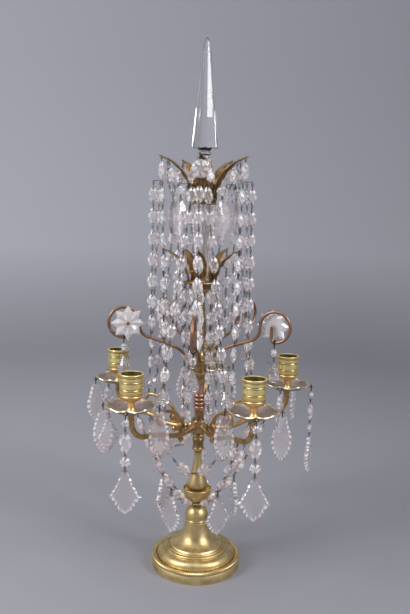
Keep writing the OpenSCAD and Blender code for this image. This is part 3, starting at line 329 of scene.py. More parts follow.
for vert in skirt_bm.verts:
    radius = hypot(vert.co.x, vert.co.y)
    column = round(atan2(vert.co.y, vert.co.x) / pi * MILLED_TEETH)
    if vert.co.z > milled_low and radius > milled_in and column % 2:
        vert.co.xy *= 1 - MILLED_DEPTH * MM / radius
        vert.co.z -= 0.6 * MILLED_DEPTH * MM
fitted(made_object("foot_skirt_milled", skirt_bm, satin_brass), "stand", "satin_brass", "foot_skirt")

bell_h = height_of("foot_bell")
flange_r = seat_r - 0.2
step_r = 38.6
neck_of_bell = 14.1
bell_outline = [(flange_r, 0), (flange_r, 3.3), (flange_r - 0.4, 3.6), (flange_r - 1.6, 3.7)]
bell_outline += sweep((flange_r - 1.6, 4.5), (flange_r - 1.6, 11.6), (step_r + 6, 14.2), (step_r + 1.8, 14.2))
bell_outline += [(step_r + 1.6, 14.6)] + arc((step_r - 0.3, 15.7), 1.2, -60, 70) + [(step_r - 1.6, 17)]
bell_outline += arc((step_r - 3.2, 17.6), 0.9, -30, 120) + [(step_r - 5, 18.1)]
bell_outline += sweep((step_r - 6, 20.2), (20, 22.2), (16.1, 33.2), (neck_of_bell, bell_h))
bell_outline += [(ROD_HOLE, bell_h), (ROD_HOLE, bell_h - 5), (11.5, bell_h - 5)]
bell_outline += sweep((11.6, bell_h - 6), (13.5, 30), (16, 19), (31, 15))
bell_outline += [(36, 11), (seat_r - 5.6, 3), (seat_r - 5.6, 0)]
stem_piece("foot_bell", bell_outline, satin_brass, "satin_brass", EDGE)

# Nut, washer, tie rod and set screws
# Plain steel fixings: one rod runs up the whole stem, a washer and a six-sided nut draw it tight under the
# bell, and small screws in both hubs pinch the tenons of the arms and scrolls.
STEEL_PALE = (0.46, 0.45, 0.43, 1)
STEEL_DEEP = (0.26, 0.25, 0.24, 1)
# Colour of the grime and painted shade in the hollows:
STEEL_GRIME_AND_SHADE = (0.10, 0.075, 0.05, 1)
steel = aged_metal("steel", STEEL_PALE, STEEL_DEEP, STEEL_GRIME_AND_SHADE, 0.4, patches=160)
for fixing in ("foot_washer", "foot_nut", "tie_rod", "set_screws"):
    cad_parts[fixing].data.materials.clear()
    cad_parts[fixing].data.materials.append(steel)

# Lower stem
# Three turned brass pieces stand on the bell, threaded on the tie rod: a domed knop with a fillet, a little
# bowl on a short neck, and a pear baluster that rises out of the bowl.
knop_h = height_of("knop")
knop_outline = [(ROD_HOLE, 0), (14.1, 0)] + arc((13.6, 1.6), 1.1, -70, 70) + [(14.0, 3.2)]
knop_outline += sweep((14.3, 3.8), (15, 12), (11, 18.6), (5, knop_h)) + [(ROD_HOLE, knop_h)]
stem_piece("knop", knop_outline, satin_brass, "satin_brass", EDGE)

bowl_h = height_of("bowl")
bowl_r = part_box("bowl")[1].x / MM
bowl_outline = [(ROD_HOLE, 0), (5, 0), (4.2, 1.8), (4.2, 3.4)]
bowl_outline += sweep((6.6, 5), (bowl_r - 3, 7.6), (bowl_r - 1.2, 14), (bowl_r - 0.2, bowl_h - 1.4))
bowl_outline += arc((bowl_r - 0.8, bowl_h - 0.7), 0.7, -30, 180)
bowl_outline += sweep((bowl_r - 1.5, bowl_h - 1), (bowl_r - 2.8, 15.4), (bowl_r - 5.4, 10.4), (9, 10.4))
bowl_outline += [(ROD_HOLE, 10.4)]
stem_piece("bowl", bowl_outline, satin_brass, "satin_brass")

baluster_h = height_of("baluster")
baluster_outline = [(ROD_HOLE, 0), (5.4, 0), (5.4, 7.4)] + arc((6.4, 8.2), 0.9, -150, 40)
baluster_outline += sweep((9.2, 9.6), (12.2, 11.6), (12.2, 14.6), (12.2, 16.6))
baluster_outline += sweep((12.1, 17.6), (10.7, 26.6), (5.2, 34.6), (4.4, baluster_h - 7))
baluster_outline += [(5, baluster_h - 2.4), (6.2, baluster_h - 1.2), (6.4, baluster_h)]
baluster_outline += [(ROD_HOLE, baluster_h)]
stem_piece("baluster", baluster_outline, satin_brass, "satin_brass")

# Hubs, ringed sleeve and slim column
# The arm hub has a ringed collar below and five tenon holes; the ringed sleeve over it is a warmer, coppery
# casting; the scroll hub flares to carry the upper scrolls; the slim column swells once on its way up.
GILT_PALE = (0.52, 0.37, 0.17, 1)
GILT_DEEP = (0.21, 0.125, 0.05, 1)
# Colour of the grime and painted shade in the hollows of the gilt pieces and leaves:
GILT_GRIME_AND_SHADE = (0.075, 0.04, 0.016, 1)
COPPER_PALE = (0.62, 0.36, 0.25, 1)
COPPER_DEEP = (0.42, 0.22, 0.14, 1)
# Colour of the grime and painted shade in the hollows:
COPPER_GRIME_AND_SHADE = (0.12, 0.06, 0.04, 1)
gilt_turned = aged_metal("gilt_turned", GILT_PALE, GILT_DEEP, GILT_GRIME_AND_SHADE, 0.34, lathe=(0, 0))
copper_turned = aged_metal("copper_turned", COPPER_PALE, COPPER_DEEP, COPPER_GRIME_AND_SHADE, 0.3, lathe=(0, 0))

hub_h = height_of("arm_hub")
hub_r = 9.0
hub_outline = [(ROD_HOLE, 0), (7.4, 0), (7.4, 1.6)] + sweep((6.9, 2), (6.3, 5), (6.4, 9), (7.2, 11))
hub_outline += arc((6.6, 13), 0.9, -70, 70) + [(6.2, 14.6), (6.2, 16)] + arc((5.8, 17.8), 1.6, -80, 80)
hub_outline += [(6.2, 20), (8, 21), (hub_r, 22), (hub_r, 37), (8.4, 38), (6.0, 38), (5.4, 42)]
hub_outline += sweep((5.4, 43), (5.4, 47), (5.8, 49), (6.1, hub_h)) + [(ROD_HOLE, hub_h)]
stem_piece("arm_hub", hub_outline, gilt_turned, "gilt_bronze", EDGE)

sleeve_h = height_of("stem_sleeve")
RINGS = 4
RING_PITCH = 5.0
sleeve_outline = [(ROD_HOLE, 0), (6, 0)]
for ring in range(RINGS):
    sleeve_outline += arc((5.4, (ring + 0.5) * RING_PITCH), 2, -76, 76, 10)
sleeve_outline += sweep((5.9, 20.3), (5.2, 24), (5.2, 28), (5.3, sleeve_h - 6)) + [(7.2, sleeve_h - 1.2)]
sleeve_outline += [(7.4, sleeve_h - 0.6), (7.4, sleeve_h), (ROD_HOLE, sleeve_h)]
stem_piece("stem_sleeve", sleeve_outline, copper_turned, "coppered_brass", made="ringed")

scroll_hub_h = height_of("scroll_hub")
flare_outline = [(ROD_HOLE, 0), (7.4, 0), (8, 1)] + sweep((8, 1.4), (7.6, 5), (9.4, 7), (9.8, 9))
flare_outline += [(9.8, 11), (7.4, 12), (7.4, 19), (9, 20), (9, 31.2), (8.4, 32), (6, 32), (5, scroll_hub_h)]
stem_piece("scroll_hub", flare_outline + [(ROD_HOLE, scroll_hub_h)], gilt_turned, "gilt_bronze", EDGE)

column_h = height_of("upper_column")
swell = 0.36 * column_h
column_r = 6.8
slim_r = 4.2
column_outline = [(ROD_HOLE, 0), (5, 0)]
column_outline += sweep((slim_r, 4), (slim_r, swell - 12), (column_r, swell - 9), (column_r, swell))
column_outline += sweep((column_r - 0.05, swell + 1), (column_r, swell + 10), (slim_r, swell + 14),
                        (slim_r, column_h - 14))
column_outline += [(4.8, column_h - 7), (9.25, column_h - 1.4), (9.25, column_h), (ROD_HOLE, column_h)]
stem_piece("upper_column", column_outline, gilt_turned, "gilt_bronze")

# Candle arms
# Five cast brass arms spring from the hub, dip, run out and turn up to a flared seat. A small scroll stands
# on each, curled over at its end, with a button at its root and a bud below. The patina is brown and orange.
COUNT = 5
ARM_ANGLES = [18 + k * 360 / COUNT for k in range(COUNT)]
ARM_PALE = (0.58, 0.39, 0.17, 1)
ARM_DEEP = (0.25, 0.13, 0.055, 1)
# Colour of the grime and painted shade in the hollows:
ARM_GRIME_AND_SHADE = (0.06, 0.03, 0.012, 1)
arm_reach = 114.0
arm_rod_r = 3.2
arm_bend_r = 24.0
arm_z = foot_of("arm_hub") / MM + 29.5
arm_drop = -20
arm_dip_r = 60
seat_h = 9.0


def bent(start, bends, spacing=1.2):
    """Points along a rod that is bent in the upright plane through the stem, from [out, up, heading in
    degrees]. Each bend is (radius, turn in degrees), or (0, length) for a straight run."""
    x, z, heading = start
    points = [(x, z)]
    for radius, amount in bends:
        length = amount if radius == 0 else abs(radians(amount)) * radius
        steps = max(3, round(length / spacing))
        for _ in range(steps):
            half_turn = 0 if radius == 0 else amount / steps / 2
            chord = length / steps if radius == 0 else 2 * radius * abs(sin(radians(half_turn)))
            heading += half_turn
            x += chord * cos(radians(heading))
            z += chord * sin(radians(heading))
            heading += half_turn
            points.append((x, z))
    return points, (x, z, heading)


def rod(bm, points, radii, roundness=5):
    """Adds a round rod along points in millimetres, with a radius at each."""
    curve = bpy.data.curves.new("rod", "CURVE")
    curve.dimensions = "3D"
    curve.bevel_depth = 1
    curve.bevel_resolution = roundness
    curve.use_fill_caps = True
    spline = curve.splines.new("POLY")
    spline.points.add(len(points) - 1)
    for knot, point, radius in zip(spline.points, points, radii):
        knot.co = (point[0] * MM, point[1] * MM, point[2] * MM, 1)
        knot.radius = radius * MM
    holder = bpy.data.objects.new("rod", curve)
    mesh = bpy.data.meshes.new_from_object(holder)
    bm.from_mesh(mesh)
    bpy.data.objects.remove(holder)
    bpy.data.curves.remove(curve)
    bpy.data.meshes.remove(mesh)


def set_in(bm, shape, place):
    """Adds a copy of a small mesh to a larger one, at a place, and keeps the small one."""
    copy = shape.copy()
    copy.transform(place)
    bm.from_mesh(copy)
    bpy.data.meshes.remove(copy)


def kept(bm, name):
    """Keeps a small shape as a mesh, to be set in many times."""
    mesh = bpy.data.meshes.new(name)
    bm.to_mesh(mesh)
    bm.free()
    return mesh


def placed(bm, angle):
    """A copy of a shape, turned about the stem."""
    copy = bm.copy()
    bmesh.ops.rotate(copy, verts=copy.verts, matrix=Matrix.Rotation(radians(angle), 3, "Z"))
    bmesh.ops.remove_doubles(copy, verts=copy.verts, dist=1e-7)
    bmesh.ops.recalc_face_normals(copy, faces=copy.faces)
    return copy


def upright(points):
    """Points of the arm's own plane as points in space."""
    return [(x, 0, z) for x, z in points]


arm_start = (hub_r + 2, arm_z, arm_drop)
arm_sweep = [(arm_dip_r, 45), (50, -20)]
low_x, _, low_heading = bent(arm_start, arm_sweep)[1]
arm_rise = radians(low_heading)
arm_run = (arm_reach - low_x - arm_bend_r * (1 - sin(arm_rise))) / cos(arm_rise)
arm_bends = arm_sweep + [(0, arm_run), (arm_bend_r, 90 - low_heading)]
arm_points, (_, arm_top, _) = bent(arm_start, arm_bends)
arm_count = len(arm_points) - 1
arm_radii = [arm_rod_r * (1.06 - 0.14 * sin(pi * i / arm_count)) for i in range(arm_count + 1)]
curl_from = 28.0
curl_rod = 2.0
curl_heading = asin(sin(radians(arm_drop)) + (curl_from - arm_start[0]) / arm_dip_r)
curl_z = arm_z + arm_dip_r * (cos(radians(arm_drop)) - cos(curl_heading))
curl_points, curl_end = bent((curl_from, curl_z, 88), [(36, -78), (0, 6), (8, -215)], 0.9)
curl_count = len(curl_points) - 1
curl_radii = [curl_rod * (1.25 - 0.4 * i / curl_count) for i in range(curl_count + 1)]
BUTTON_R = 6.5
button_outline = [(0, 0), (BUTTON_R - 0.6, 0)]
button_outline += arc((BUTTON_R - 0.9, 1.2), 0.9, -60, 100) + [(BUTTON_R - 2, 1.2)]
button_outline += sweep((BUTTON_R - 2.2, 1.3), (BUTTON_R - 2.6, 2.4), (2, 2.9), (0, 2.9), 8)
button_half = kept(turned(button_outline, sides=28), "button_half")
bud_outline = [(0, -7.2), (0.9, -6.6)] + sweep((1.0, -6), (3.9, -5.2), (4.2, -1.4), (2.4, 0.6)) + [(0, 0.6)]
bud = kept(turned(bud_outline, sides=24), "bud")
ball = bmesh.new()
bmesh.ops.create_uvsphere(ball, u_segments=20, v_segments=12, radius=MM)
ball = kept(ball, "ball")
seat_outline = [(0, -1.5), (arm_rod_r + 0.2, -1.5)] + arc((arm_rod_r + 0.2, -0.4), 0.8, -70, 70, 6)
seat_outline += sweep((arm_rod_r, 0.6), (arm_rod_r, seat_h - 5), (4, seat_h - 2.4), (5.2, seat_h - 1.2))
seat_outline += [(5.6, seat_h - 0.8), (5.6, seat_h), (2.5, seat_h), (2.5, seat_h + 1.2), (0, seat_h + 1.2)]
seat = kept(softened(turned(seat_outline, sides=40), 0.15), "seat")

arm_bm = bmesh.new()
rod(arm_bm, upright(arm_points), arm_radii)
rod(arm_bm, upright(curl_points), curl_radii)
rod(arm_bm, [(hub_r + out, 0, arm_z) for out in (0.1, 1.4, 2.9)], [4.2, 4.3, 3.6])
at_button = Vector((curl_from + 5, 0, curl_z + 10)) * MM
for side in (1, -1):
    facing = Matrix.Rotation(-side * pi / 2, 4, "X")
    set_in(arm_bm, button_half, Matrix.Translation(at_button) @ facing)
set_in(arm_bm, bud, Matrix.Translation(Vector((curl_from + 5, 0, curl_z - arm_rod_r + 0.6)) * MM))
set_in(arm_bm, ball, Matrix.Translation(Vector((curl_end[0], 0, curl_end[1])) * MM) @ Matrix.Scale(3.0, 4))
set_in(arm_bm, seat, Matrix.Translation(Vector((arm_reach, 0, arm_top)) * MM))
arm_finish = aged_metal("arm_brass", ARM_PALE, ARM_DEEP, ARM_GRIME_AND_SHADE, 0.36, patches=110)
for k, angle in enumerate(ARM_ANGLES, 1):
    arm = made_object(f"candle_arm_{k}_cast", placed(arm_bm, angle), arm_finish)
    fitted(arm, "stand", "arm_brass", f"candle_arm_{k}")

# Drip pans
# Each pan is a thin brass dish pressed into eight lobes, with three hook lugs soldered to its rim. The metal
# has gone grey and mauve, and only its rim still shines.
PAN_PALE = (0.54, 0.45, 0.39, 1)
PAN_DEEP = (0.34, 0.27, 0.24, 1)
PAN_RIM = (0.80, 0.69, 0.46, 1)
PAN_TURNS = (-36, 0, -36, 36, -30)
pan_r = 29.0
pan_depth = 7.8
pan_z = arm_top + seat_h
pan_t = 1.0
LOBES = 8
LOBE_IN = 0.06
LOBE_LIFT = 1.0
LUG_STOPS = (0, 1.6, 3.2, 5.2, 6.6, 7.2)
LUG_RADII = (1.3, 1.1, 0.9, 0.9, 1.2, 0.9)

pan_line = [(2.7, 0.3), (5.4, 0.3), (7, 0.35)]
pan_line += sweep((8.6, 0.6), (15, 1.5), (21, 2.8), (pan_r - 3.2, pan_depth - 1.6), 12)
pan_line += [(pan_r - 1.6, pan_depth - 0.4), (pan_r - 0.2, pan_depth + 0.5)]
pan_bm = spun([(r * MM, z * MM) for r, z in pan_line], 128, closed=False)
bmesh.ops.reverse_faces(pan_bm, faces=[f for f in pan_bm.faces if f.normal.z < 0])
worn = pan_bm.verts.layers.float.new("worn")
for vert in pan_bm.verts:
    share = hypot(vert.co.x, vert.co.y) / (pan_r * MM)
    wave = cos(LOBES * atan2(vert.co.y, vert.co.x))
    vert[worn] = max(0.0, (share - 0.86) / 0.12)
    vert.co.xy *= 1 - LOBE_IN * (0.5 - 0.5 * wave) * share ** 3
    vert.co.z += LOBE_LIFT * MM * wave * share ** 4
bmesh.ops.solidify(pan_bm, geom=pan_bm.faces[:], thickness=-pan_t * MM)
for angle in (0, 90, -90):
    out = Vector((cos(radians(angle)), sin(radians(angle)), 0))
    rod(pan_bm, [out * (pan_r - 2.2 + stop) + Vector((0, 0, pan_depth)) for stop in LUG_STOPS], LUG_RADII)


def patinated_pan(name):
    """Grey-mauve patina that thins out to bare brass towards the rim, which the mesh marks as worn."""
    finish, tree, shader, place = new_finish(name)
    cloud = cloudy(tree, place, 130, 8, 0.65)
    dull = tone(tree, cloud, [(0.34, PAN_DEEP), (0.66, PAN_PALE)])
    rim = add_node(tree, "Attribute", attribute_name="worn").outputs["Fac"]
    broken = add_node(tree, "Math", {0: rim, 1: cloud}, operation="MULTIPLY").outputs[0]
    bare = scaled(tree, broken, 0.2, 0.42, 0, 1)
    tree.links.new(mixed(tree, bare, dull, PAN_RIM), shader.inputs["Base Color"])
    tree.links.new(scaled(tree, bare, 0, 1, 0.52, 0.3), shader.inputs["Roughness"])
    shader.inputs["Metallic"].default_value = 0.85
    bumped(tree, shader, cloud, 0.25, 0.0004)
    return finish


pan_finish = patinated_pan("patinated_brass")
for k, (angle, pan_turn) in enumerate(zip(ARM_ANGLES, PAN_TURNS), 1):
    turned_pan = placed(pan_bm, pan_turn)
    bmesh.ops.translate(turned_pan, verts=turned_pan.verts, vec=Vector((arm_reach, 0, pan_z)) * MM)
    pan = made_object(f"drip_pan_{k}_lobed", placed(turned_pan, angle), pan_finish)
    turned_pan.free()
    fitted(pan, "stand", "patinated_brass", f"drip_pan_{k}")

# Candle cups
# Turned brass cups screwed to the studs of the arms: a spool foot, a rounded bottom, three bands parted by
# grooves and a flared lip. The bore takes a household candle and has dulled with use.
CUP_PALE = (0.98, 0.71, 0.32, 1)
CUP_DEEP = (0.72, 0.49, 0.19, 1)
BORE_DULL = (0.42, 0.34, 0.15, 1)
cup_h = height_of("candle_cup_1")
candle_r = 11.2
bore_floor = cup_h - 24
cup_r = candle_r + 1.7
cup_outline = [(0, 0.2), (5.2, 0.2), (5.6, 0.6), (5.6, 1.8), (5.2, 2.3)]
cup_outline += sweep((4.4, 3), (3.4, 4.4), (3.4, 8), (4.6, 11.2)) + [(5.2, 11.8)]
cup_outline += sweep((6.6, 12.4), (11.6, 13.8), (12.4, 15.6), (cup_r - 0.5, bore_floor - 1.8))
cup_outline += arc((cup_r - 0.7, bore_floor - 0.6), 0.8, -60, 60, 6) + [(cup_r - 0.55, bore_floor + 0.5)]
for band in (bore_floor + 6.9, bore_floor + 15.4):
    cup_outline += [(cup_r, band - 1.3), (cup_r - 0.8, band - 1), (cup_r - 0.8, band - 0.7)]
    cup_outline += arc((cup_r - 0.7, band), 0.65, -80, 80, 4)
    cup_outline += [(cup_r - 0.8, band + 0.7), (cup_r - 0.8, band + 1), (cup_r, band + 1.3)]
cup_outline += [(cup_r, cup_h - 4.2), (cup_r - 0.4, cup_h - 3.8), (cup_r - 0.4, cup_h - 3.4)]
cup_outline += sweep((cup_r + 0.5, cup_h - 3), (cup_r + 0.6, cup_h - 2), (cup_r + 1.3, cup_h - 1),
                     (cup_r + 1.4, cup_h - 0.4), 6)
cup_outline += [(cup_r + 1.1, cup_h), (candle_r + 0.5, cup_h), (candle_r, cup_h - 0.5)]
cup_outline += [(candle_r, bore_floor), (0, bore_floor)]
cup_bm = turned(cup_outline, sides=72)
bore = cup_bm.verts.layers.float.new("bore")
for vert in cup_bm.verts:
    inside = hypot(vert.co.x, vert.co.y) < (candle_r + 0.1) * MM and vert.co.z > (bore_floor - 0.1) * MM
    vert[bore] = 1.0 if inside else 0.0
bmesh.ops.translate(cup_bm, verts=cup_bm.verts, vec=(arm_reach * MM, 0, foot_of("candle_cup_1")))
for k, angle in enumerate(ARM_ANGLES, 1):
    axis = (arm_reach * MM * cos(radians(angle)), arm_reach * MM * sin(radians(angle)))
    cup_finish = aged_metal(f"cup_brass_{k}", CUP_PALE, CUP_DEEP, BRASS_GRIME_AND_SHADE, 0.37, lathe=axis)
    tree = cup_finish.node_tree
    shader = tree.nodes["Principled BSDF"]
    clean = shader.inputs["Base Color"].links[0].from_socket
    dulled = add_node(tree, "Attribute", attribute_name="bore").outputs["Fac"]
    tree.links.new(mixed(tree, dulled, clean, BORE_DULL), shader.inputs["Base Color"])
    cup = made_object(f"candle_cup_{k}_banded", placed(cup_bm, angle), cup_finish, 30)
    fitted(cup, f"cup_{k}", "satin_brass", f"candle_cup_{k}")

# Upper scrolls
# Five bent bronze rods rise from the upper hub, run out and curl over into a crosier. Each ends at the middle
# of its curl, where a pin carries a rosette. Their patina is copper brown.
SCROLL_PALE = (0.36, 0.225, 0.15, 1)
SCROLL_DEEP = (0.18, 0.10, 0.065, 1)
# Colour of the grime and painted shade in the hollows:
SCROLL_GRIME_AND_SHADE = (0.05, 0.025, 0.015, 1)
SCROLL_ANGLES = [54 + k * 360 / COUNT for k in range(COUNT)]
scroll_rod_r = 1.9
hook_reach = 93.0
hook_r = 18.0
scroll_z = foot_of("scroll_hub") / MM + 25
scroll_start = (hub_r + 3, scroll_z, 55)
scroll_rise = (60, -35)
scroll_turn = (16, 75)
flat_x, _, flat_heading = bent(scroll_start, [scroll_rise])[1]
turned_x, _, turned_heading = bent((0, 0, flat_heading), [scroll_turn])[1]
scroll_run = hook_reach - flat_x - turned_x - hook_r * sin(radians(turned_heading))
scroll_run /= cos(radians(flat_heading))
scroll_bends = [scroll_rise, (0, scroll_run), scroll_turn]
scroll_bends += [(hook_r, -180 - turned_heading), (4, -90), (0, hook_r - 4)]
scroll_points, scroll_eye = bent(scroll_start, scroll_bends)
eye = Vector((scroll_eye[0], 0, scroll_eye[1]))
rosette_face = 4.35
rosette_t = 4.4
scroll_bm = bmesh.new()
rod(scroll_bm, upright(scroll_points), [scroll_rod_r] * len(scroll_points))
rod(scroll_bm, [(hub_r + out, 0, scroll_z) for out in (0.1, 2.4, 4.1)], [2.7, 2.7, 2.2])
rod(scroll_bm, [eye, eye + Vector((0, rosette_face + rosette_t + 0.4, 0))], [1.2, 1.2])
pin_head = Matrix.Translation((eye + Vector((0, rosette_face + rosette_t + 0.6, 0))) * MM)
set_in(scroll_bm, ball, pin_head @ Matrix.Diagonal((2.2, 1.1, 2.2, 1)))
set_in(scroll_bm, ball, Matrix.Translation(eye * MM) @ Matrix.Scale(2.1, 4))
scroll_finish = aged_metal("scroll_bronze", SCROLL_PALE, SCROLL_DEEP, SCROLL_GRIME_AND_SHADE, 0.38, patches=140)
for k, angle in enumerate(SCROLL_ANGLES, 1):
    scroll = made_object(f"upper_scroll_{k}_bent", placed(scroll_bm, angle), scroll_finish)
    fitted(scroll, "stand", "scroll_bronze", f"upper_scroll_{k}")

# Leaf crowns and spire socket
# Each crown is a turned plate with five leaves brazed to it. The leaves are cut from sheet, lobed along both
# edges, raised along the rib and bent outwards over a former. The socket on the upper plate holds the spire.
LEAF_PALE = (0.44, 0.285, 0.11, 1)
LEAF_DEEP = (0.12, 0.062, 0.022, 1)
gilt_leaf = aged_metal("gilt_leaf", LEAF_PALE, LEAF_DEEP, GILT_GRIME_AND_SHADE, 0.36, patches=160)
LEAF_SWEEP = radians(80)
LEAF_T = 1.1
LEAF_LOBES = 5


def crown_leaf(base_r, base_z, bend_r, width):
    """One leaf in millimetres, in its own upright plane."""
    bm = bmesh.new()
    bmesh.ops.create_grid(bm, x_segments=44, y_segments=12, size=0.5)
    for vert in bm.verts:
        along = vert.co.x + 0.5
        side = 2 * vert.co.y
        lobe = abs(sin(LEAF_LOBES * pi * along ** 0.9))
        full = (0.34 + 0.66 * sin(pi * along ** 0.8)) * (1 - along ** 4)
        half = width / 2 * full * (0.78 + 0.26 * lobe) + 0.6
        lean = along * LEAF_SWEEP - 0.1 * abs(side) * lobe * (1 - along)
        rib = -0.9 * exp(-(side / 0.14) ** 2) * (1 - 0.7 * along)
        vein = 0.35 * abs(side) * (2 * lobe - 1)
        cup = 0.16 * half * side * side
        reach = bend_r - (rib + vein + cup)
        out = base_r + bend_r - reach * cos(lean)
        vert.co = Vector((out, half * side, base_z + reach * sin(lean))) * MM
    bmesh.ops.solidify(bm, geom=bm.faces[:], thickness=LEAF_T * MM)
    return kept(bm, "crown_leaf")


def crown(plate_outline, plate_z, leaf):
    """A turned plate with five leaves."""
    bm = softened(turned(plate_outline, plate_z), 0.2)
    for angle in SCROLL_ANGLES:
        set_in(bm, leaf, Matrix.Rotation(radians(angle), 4, "Z"))
    return bm


low_foot = foot_of("lower_crown")
low_top = foot_of("glass_vase") / MM
low_h = low_top - low_foot / MM
low_plate_r = 22.5
low_outline = [(ROD_HOLE, 0), (low_plate_r / 2, 0)]
low_outline += sweep((low_plate_r / 2, 0.4), (13, 4.5), (16, 6), (low_plate_r - 2.4, low_h - 3), 8)
low_outline += arc((low_plate_r - 1.4, low_h - 1.4), 1.4, -70, 90)
low_outline += [(low_plate_r - 2.6, low_h - 0.4), (ROD_HOLE, low_h - 0.4)]
low_leaf = crown_leaf(low_plate_r - 6.5, low_top - 1.2, 40, 14.5)
low_crown = made_object("lower_crown_leafed", crown(low_outline, low_foot, low_leaf), gilt_leaf)
fitted(low_crown, "stand", "gilt_bronze", "lower_crown")

high_foot = foot_of("upper_crown")
high_top = foot_of("spire_socket") / MM
high_h = high_top - high_foot / MM
vase_r = 15.4
high_outline = [(ROD_HOLE, 0), (vase_r - 0.6, 0)] + arc((vase_r - 0.4, 1), 0.8, -80, 60, 6)
high_outline += [(vase_r - 0.9, 2), (vase_r - 0.9, high_h - 2)]
high_outline += arc((vase_r - 0.5, high_h - 1), 0.9, -60, 90, 6) + [(ROD_HOLE, high_h)]
high_leaf = crown_leaf(vase_r - 2.4, high_top - 1.2, 50, 16)
high_crown = made_object("upper_crown_leafed", crown(high_outline, high_foot, high_leaf), gilt_leaf)
fitted(high_crown, "stand", "gilt_bronze", "upper_crown")

socket_h = height_of("spire_socket")
socket_outline = [(ROD_HOLE, 0), (10, 0), (10, 1.2), (9.4, 2)]
socket_outline += sweep((7.6, 3.4), (7, 12), (8, 16), (10.2, socket_h - 2.4))
socket_outline += arc((9.8, socket_h - 1), 0.9, -60, 100) + [(5.2, socket_h), (5.2, 7.2), (ROD_HOLE, 7.2)]
stem_piece("spire_socket", socket_outline, gilt_turned, "gilt_bronze", 0.2)

# Glass vase and spire
# The vase is a fluted glass sleeve round the tie rod between the two crowns. The spire is one piece of clear
# glass, ground to eight flat sides over a round knob, with a peg that drops into the socket.
GLASS_CLEAR = (0.985, 0.98, 0.985, 1)
GLASS_MAUVE = (0.965, 0.89, 0.885, 1)
SPIRE_TINT = (0.96, 0.965, 0.97, 1)
GLASS_IOR = 1.5
FLUTES = 14
FLUTE_DEPTH = 0.09


def clear_glass(name, clear, tint, rough, haze):
    """Old lead glass with a cloudy tint. The mesh may mark facets as hazy, where grinding left them milky."""
    finish, tree, shader, place = new_finish(name)
    tinted = tone(tree, cloudy(tree, place, 60, 3), [(0.35, clear), (0.65, tint)])
    tree.links.new(tinted, shader.inputs["Base Color"])
    shader.inputs["Roughness"].default_value = rough
    shader.inputs["IOR"].default_value = GLASS_IOR
    facet = add_node(tree, "Attribute", attribute_name="haze").outputs["Fac"]
    tree.links.new(scaled(tree, facet, 0, 1, 1 - haze, -haze), shader.inputs["Transmission Weight"])
    bumped(tree, shader, cloudy(tree, place, 160, 2), 0.03, 0.0006)
    return finish


spire_glass = clear_glass("spire_glass", GLASS_CLEAR, SPIRE_TINT, 0.03, 0.045)
vase_glass = clear_glass("vase_glass", GLASS_CLEAR, GLASS_MAUVE, 0.04, 0.14)
vase_h = height_of("glass_vase")
vase_outline = [(3.2, 0.1), (9, 0.1), (9, 1.6), (8.4, 2.6)]
vase_outline += sweep((7.8, 4), (7.8, 30), (vase_r - 3, vase_h - 34), (vase_r - 0.4, vase_h - 4), 24)
vase_outline += [(vase_r, vase_h - 2), (vase_r - 0.2, vase_h - 0.1), (3.2, vase_h - 0.1)]
vase_bm = turned(vase_outline, foot_of("glass_vase"), 4 * FLUTES)
for vert in vase_bm.verts:
    if hypot(vert.co.x, vert.co.y) > 6 * MM:
        vert.co.xy *= 1 - FLUTE_DEPTH * (0.5 - 0.5 * cos(FLUTES * atan2(vert.co.y, vert.co.x)))
fitted(made_object("glass_vase_fluted", vase_bm, vase_glass), "stand", "cut_glass", "glass_vase")

SPIRE_SIDES = 8
SPIRE_R = 15.8
SPIRE_TIP_R = 4.0
SPIRE_POINT = 5.5
SPIRE_TURN = radians(12)
KNOB_H = 35
socket_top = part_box("spire_socket")[1].z
spire_base = socket_top / MM + KNOB_H
spire_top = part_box("spire")[1].z / MM
spire_shoulder = spire_top - SPIRE_POINT
knob_outline = [(0, -15.3), (4.6, -15.3), (5, -14.8), (5, 0), (8.6, 0)]
knob_outline += sweep((9, 1), (11.5, 3), (11.5, 16), (9.5, 19.6), 10)
knob_outline += sweep((8.5, 21), (5.6, 23), (5.4, 24.5), (5.6, 27), 8) + arc((6.2, 29), 1.6, -80, 80, 8)
knob_outline += [(6, KNOB_H - 3), (8.6, KNOB_H - 0.6), (8.6, KNOB_H), (0, KNOB_H)]
spire_bm = turned(knob_outline, socket_top, 40)
obelisk = bmesh.new()
bmesh.ops.create_cone(obelisk, cap_ends=True, segments=SPIRE_SIDES, radius1=SPIRE_R * MM,
                      radius2=SPIRE_TIP_R * MM, depth=(spire_shoulder - spire_base) * MM)
bmesh.ops.translate(obelisk, verts=obelisk.verts, vec=(0, 0, (spire_base + spire_shoulder) / 2 * MM))
obelisk_top = max(obelisk.faces, key=lambda f: f.calc_center_median().z)
point = bmesh.ops.poke(obelisk, faces=[obelisk_top])["verts"][0]
point.co.z = spire_top * MM
bmesh.ops.bevel(obelisk, geom=[e for e in obelisk.edges], offset=0.25 * MM, offset_type="OFFSET", segments=2,
                profile=0.5, affect="EDGES", material=-1)
bmesh.ops.rotate(obelisk, verts=obelisk.verts, matrix=Matrix.Rotation(SPIRE_TURN, 3, "Z"))
set_in(spire_bm, kept(obelisk, "obelisk"), Matrix.Identity(4))
fitted(made_object("spire_cut", spire_bm, spire_glass, 20), "spire", "cut_glass", "spire")

# Cut glass and its wires
# Every stone is ground flat by hand: a table on both faces with sloping facets round it. The stones hang on
# pins of blackened wire that are looped to one another, and the pins show as dark dots through the glass.
WIRE_PALE = (0.05, 0.042, 0.04, 1)
WIRE_DEEP = (0.018, 0.015, 0.014, 1)
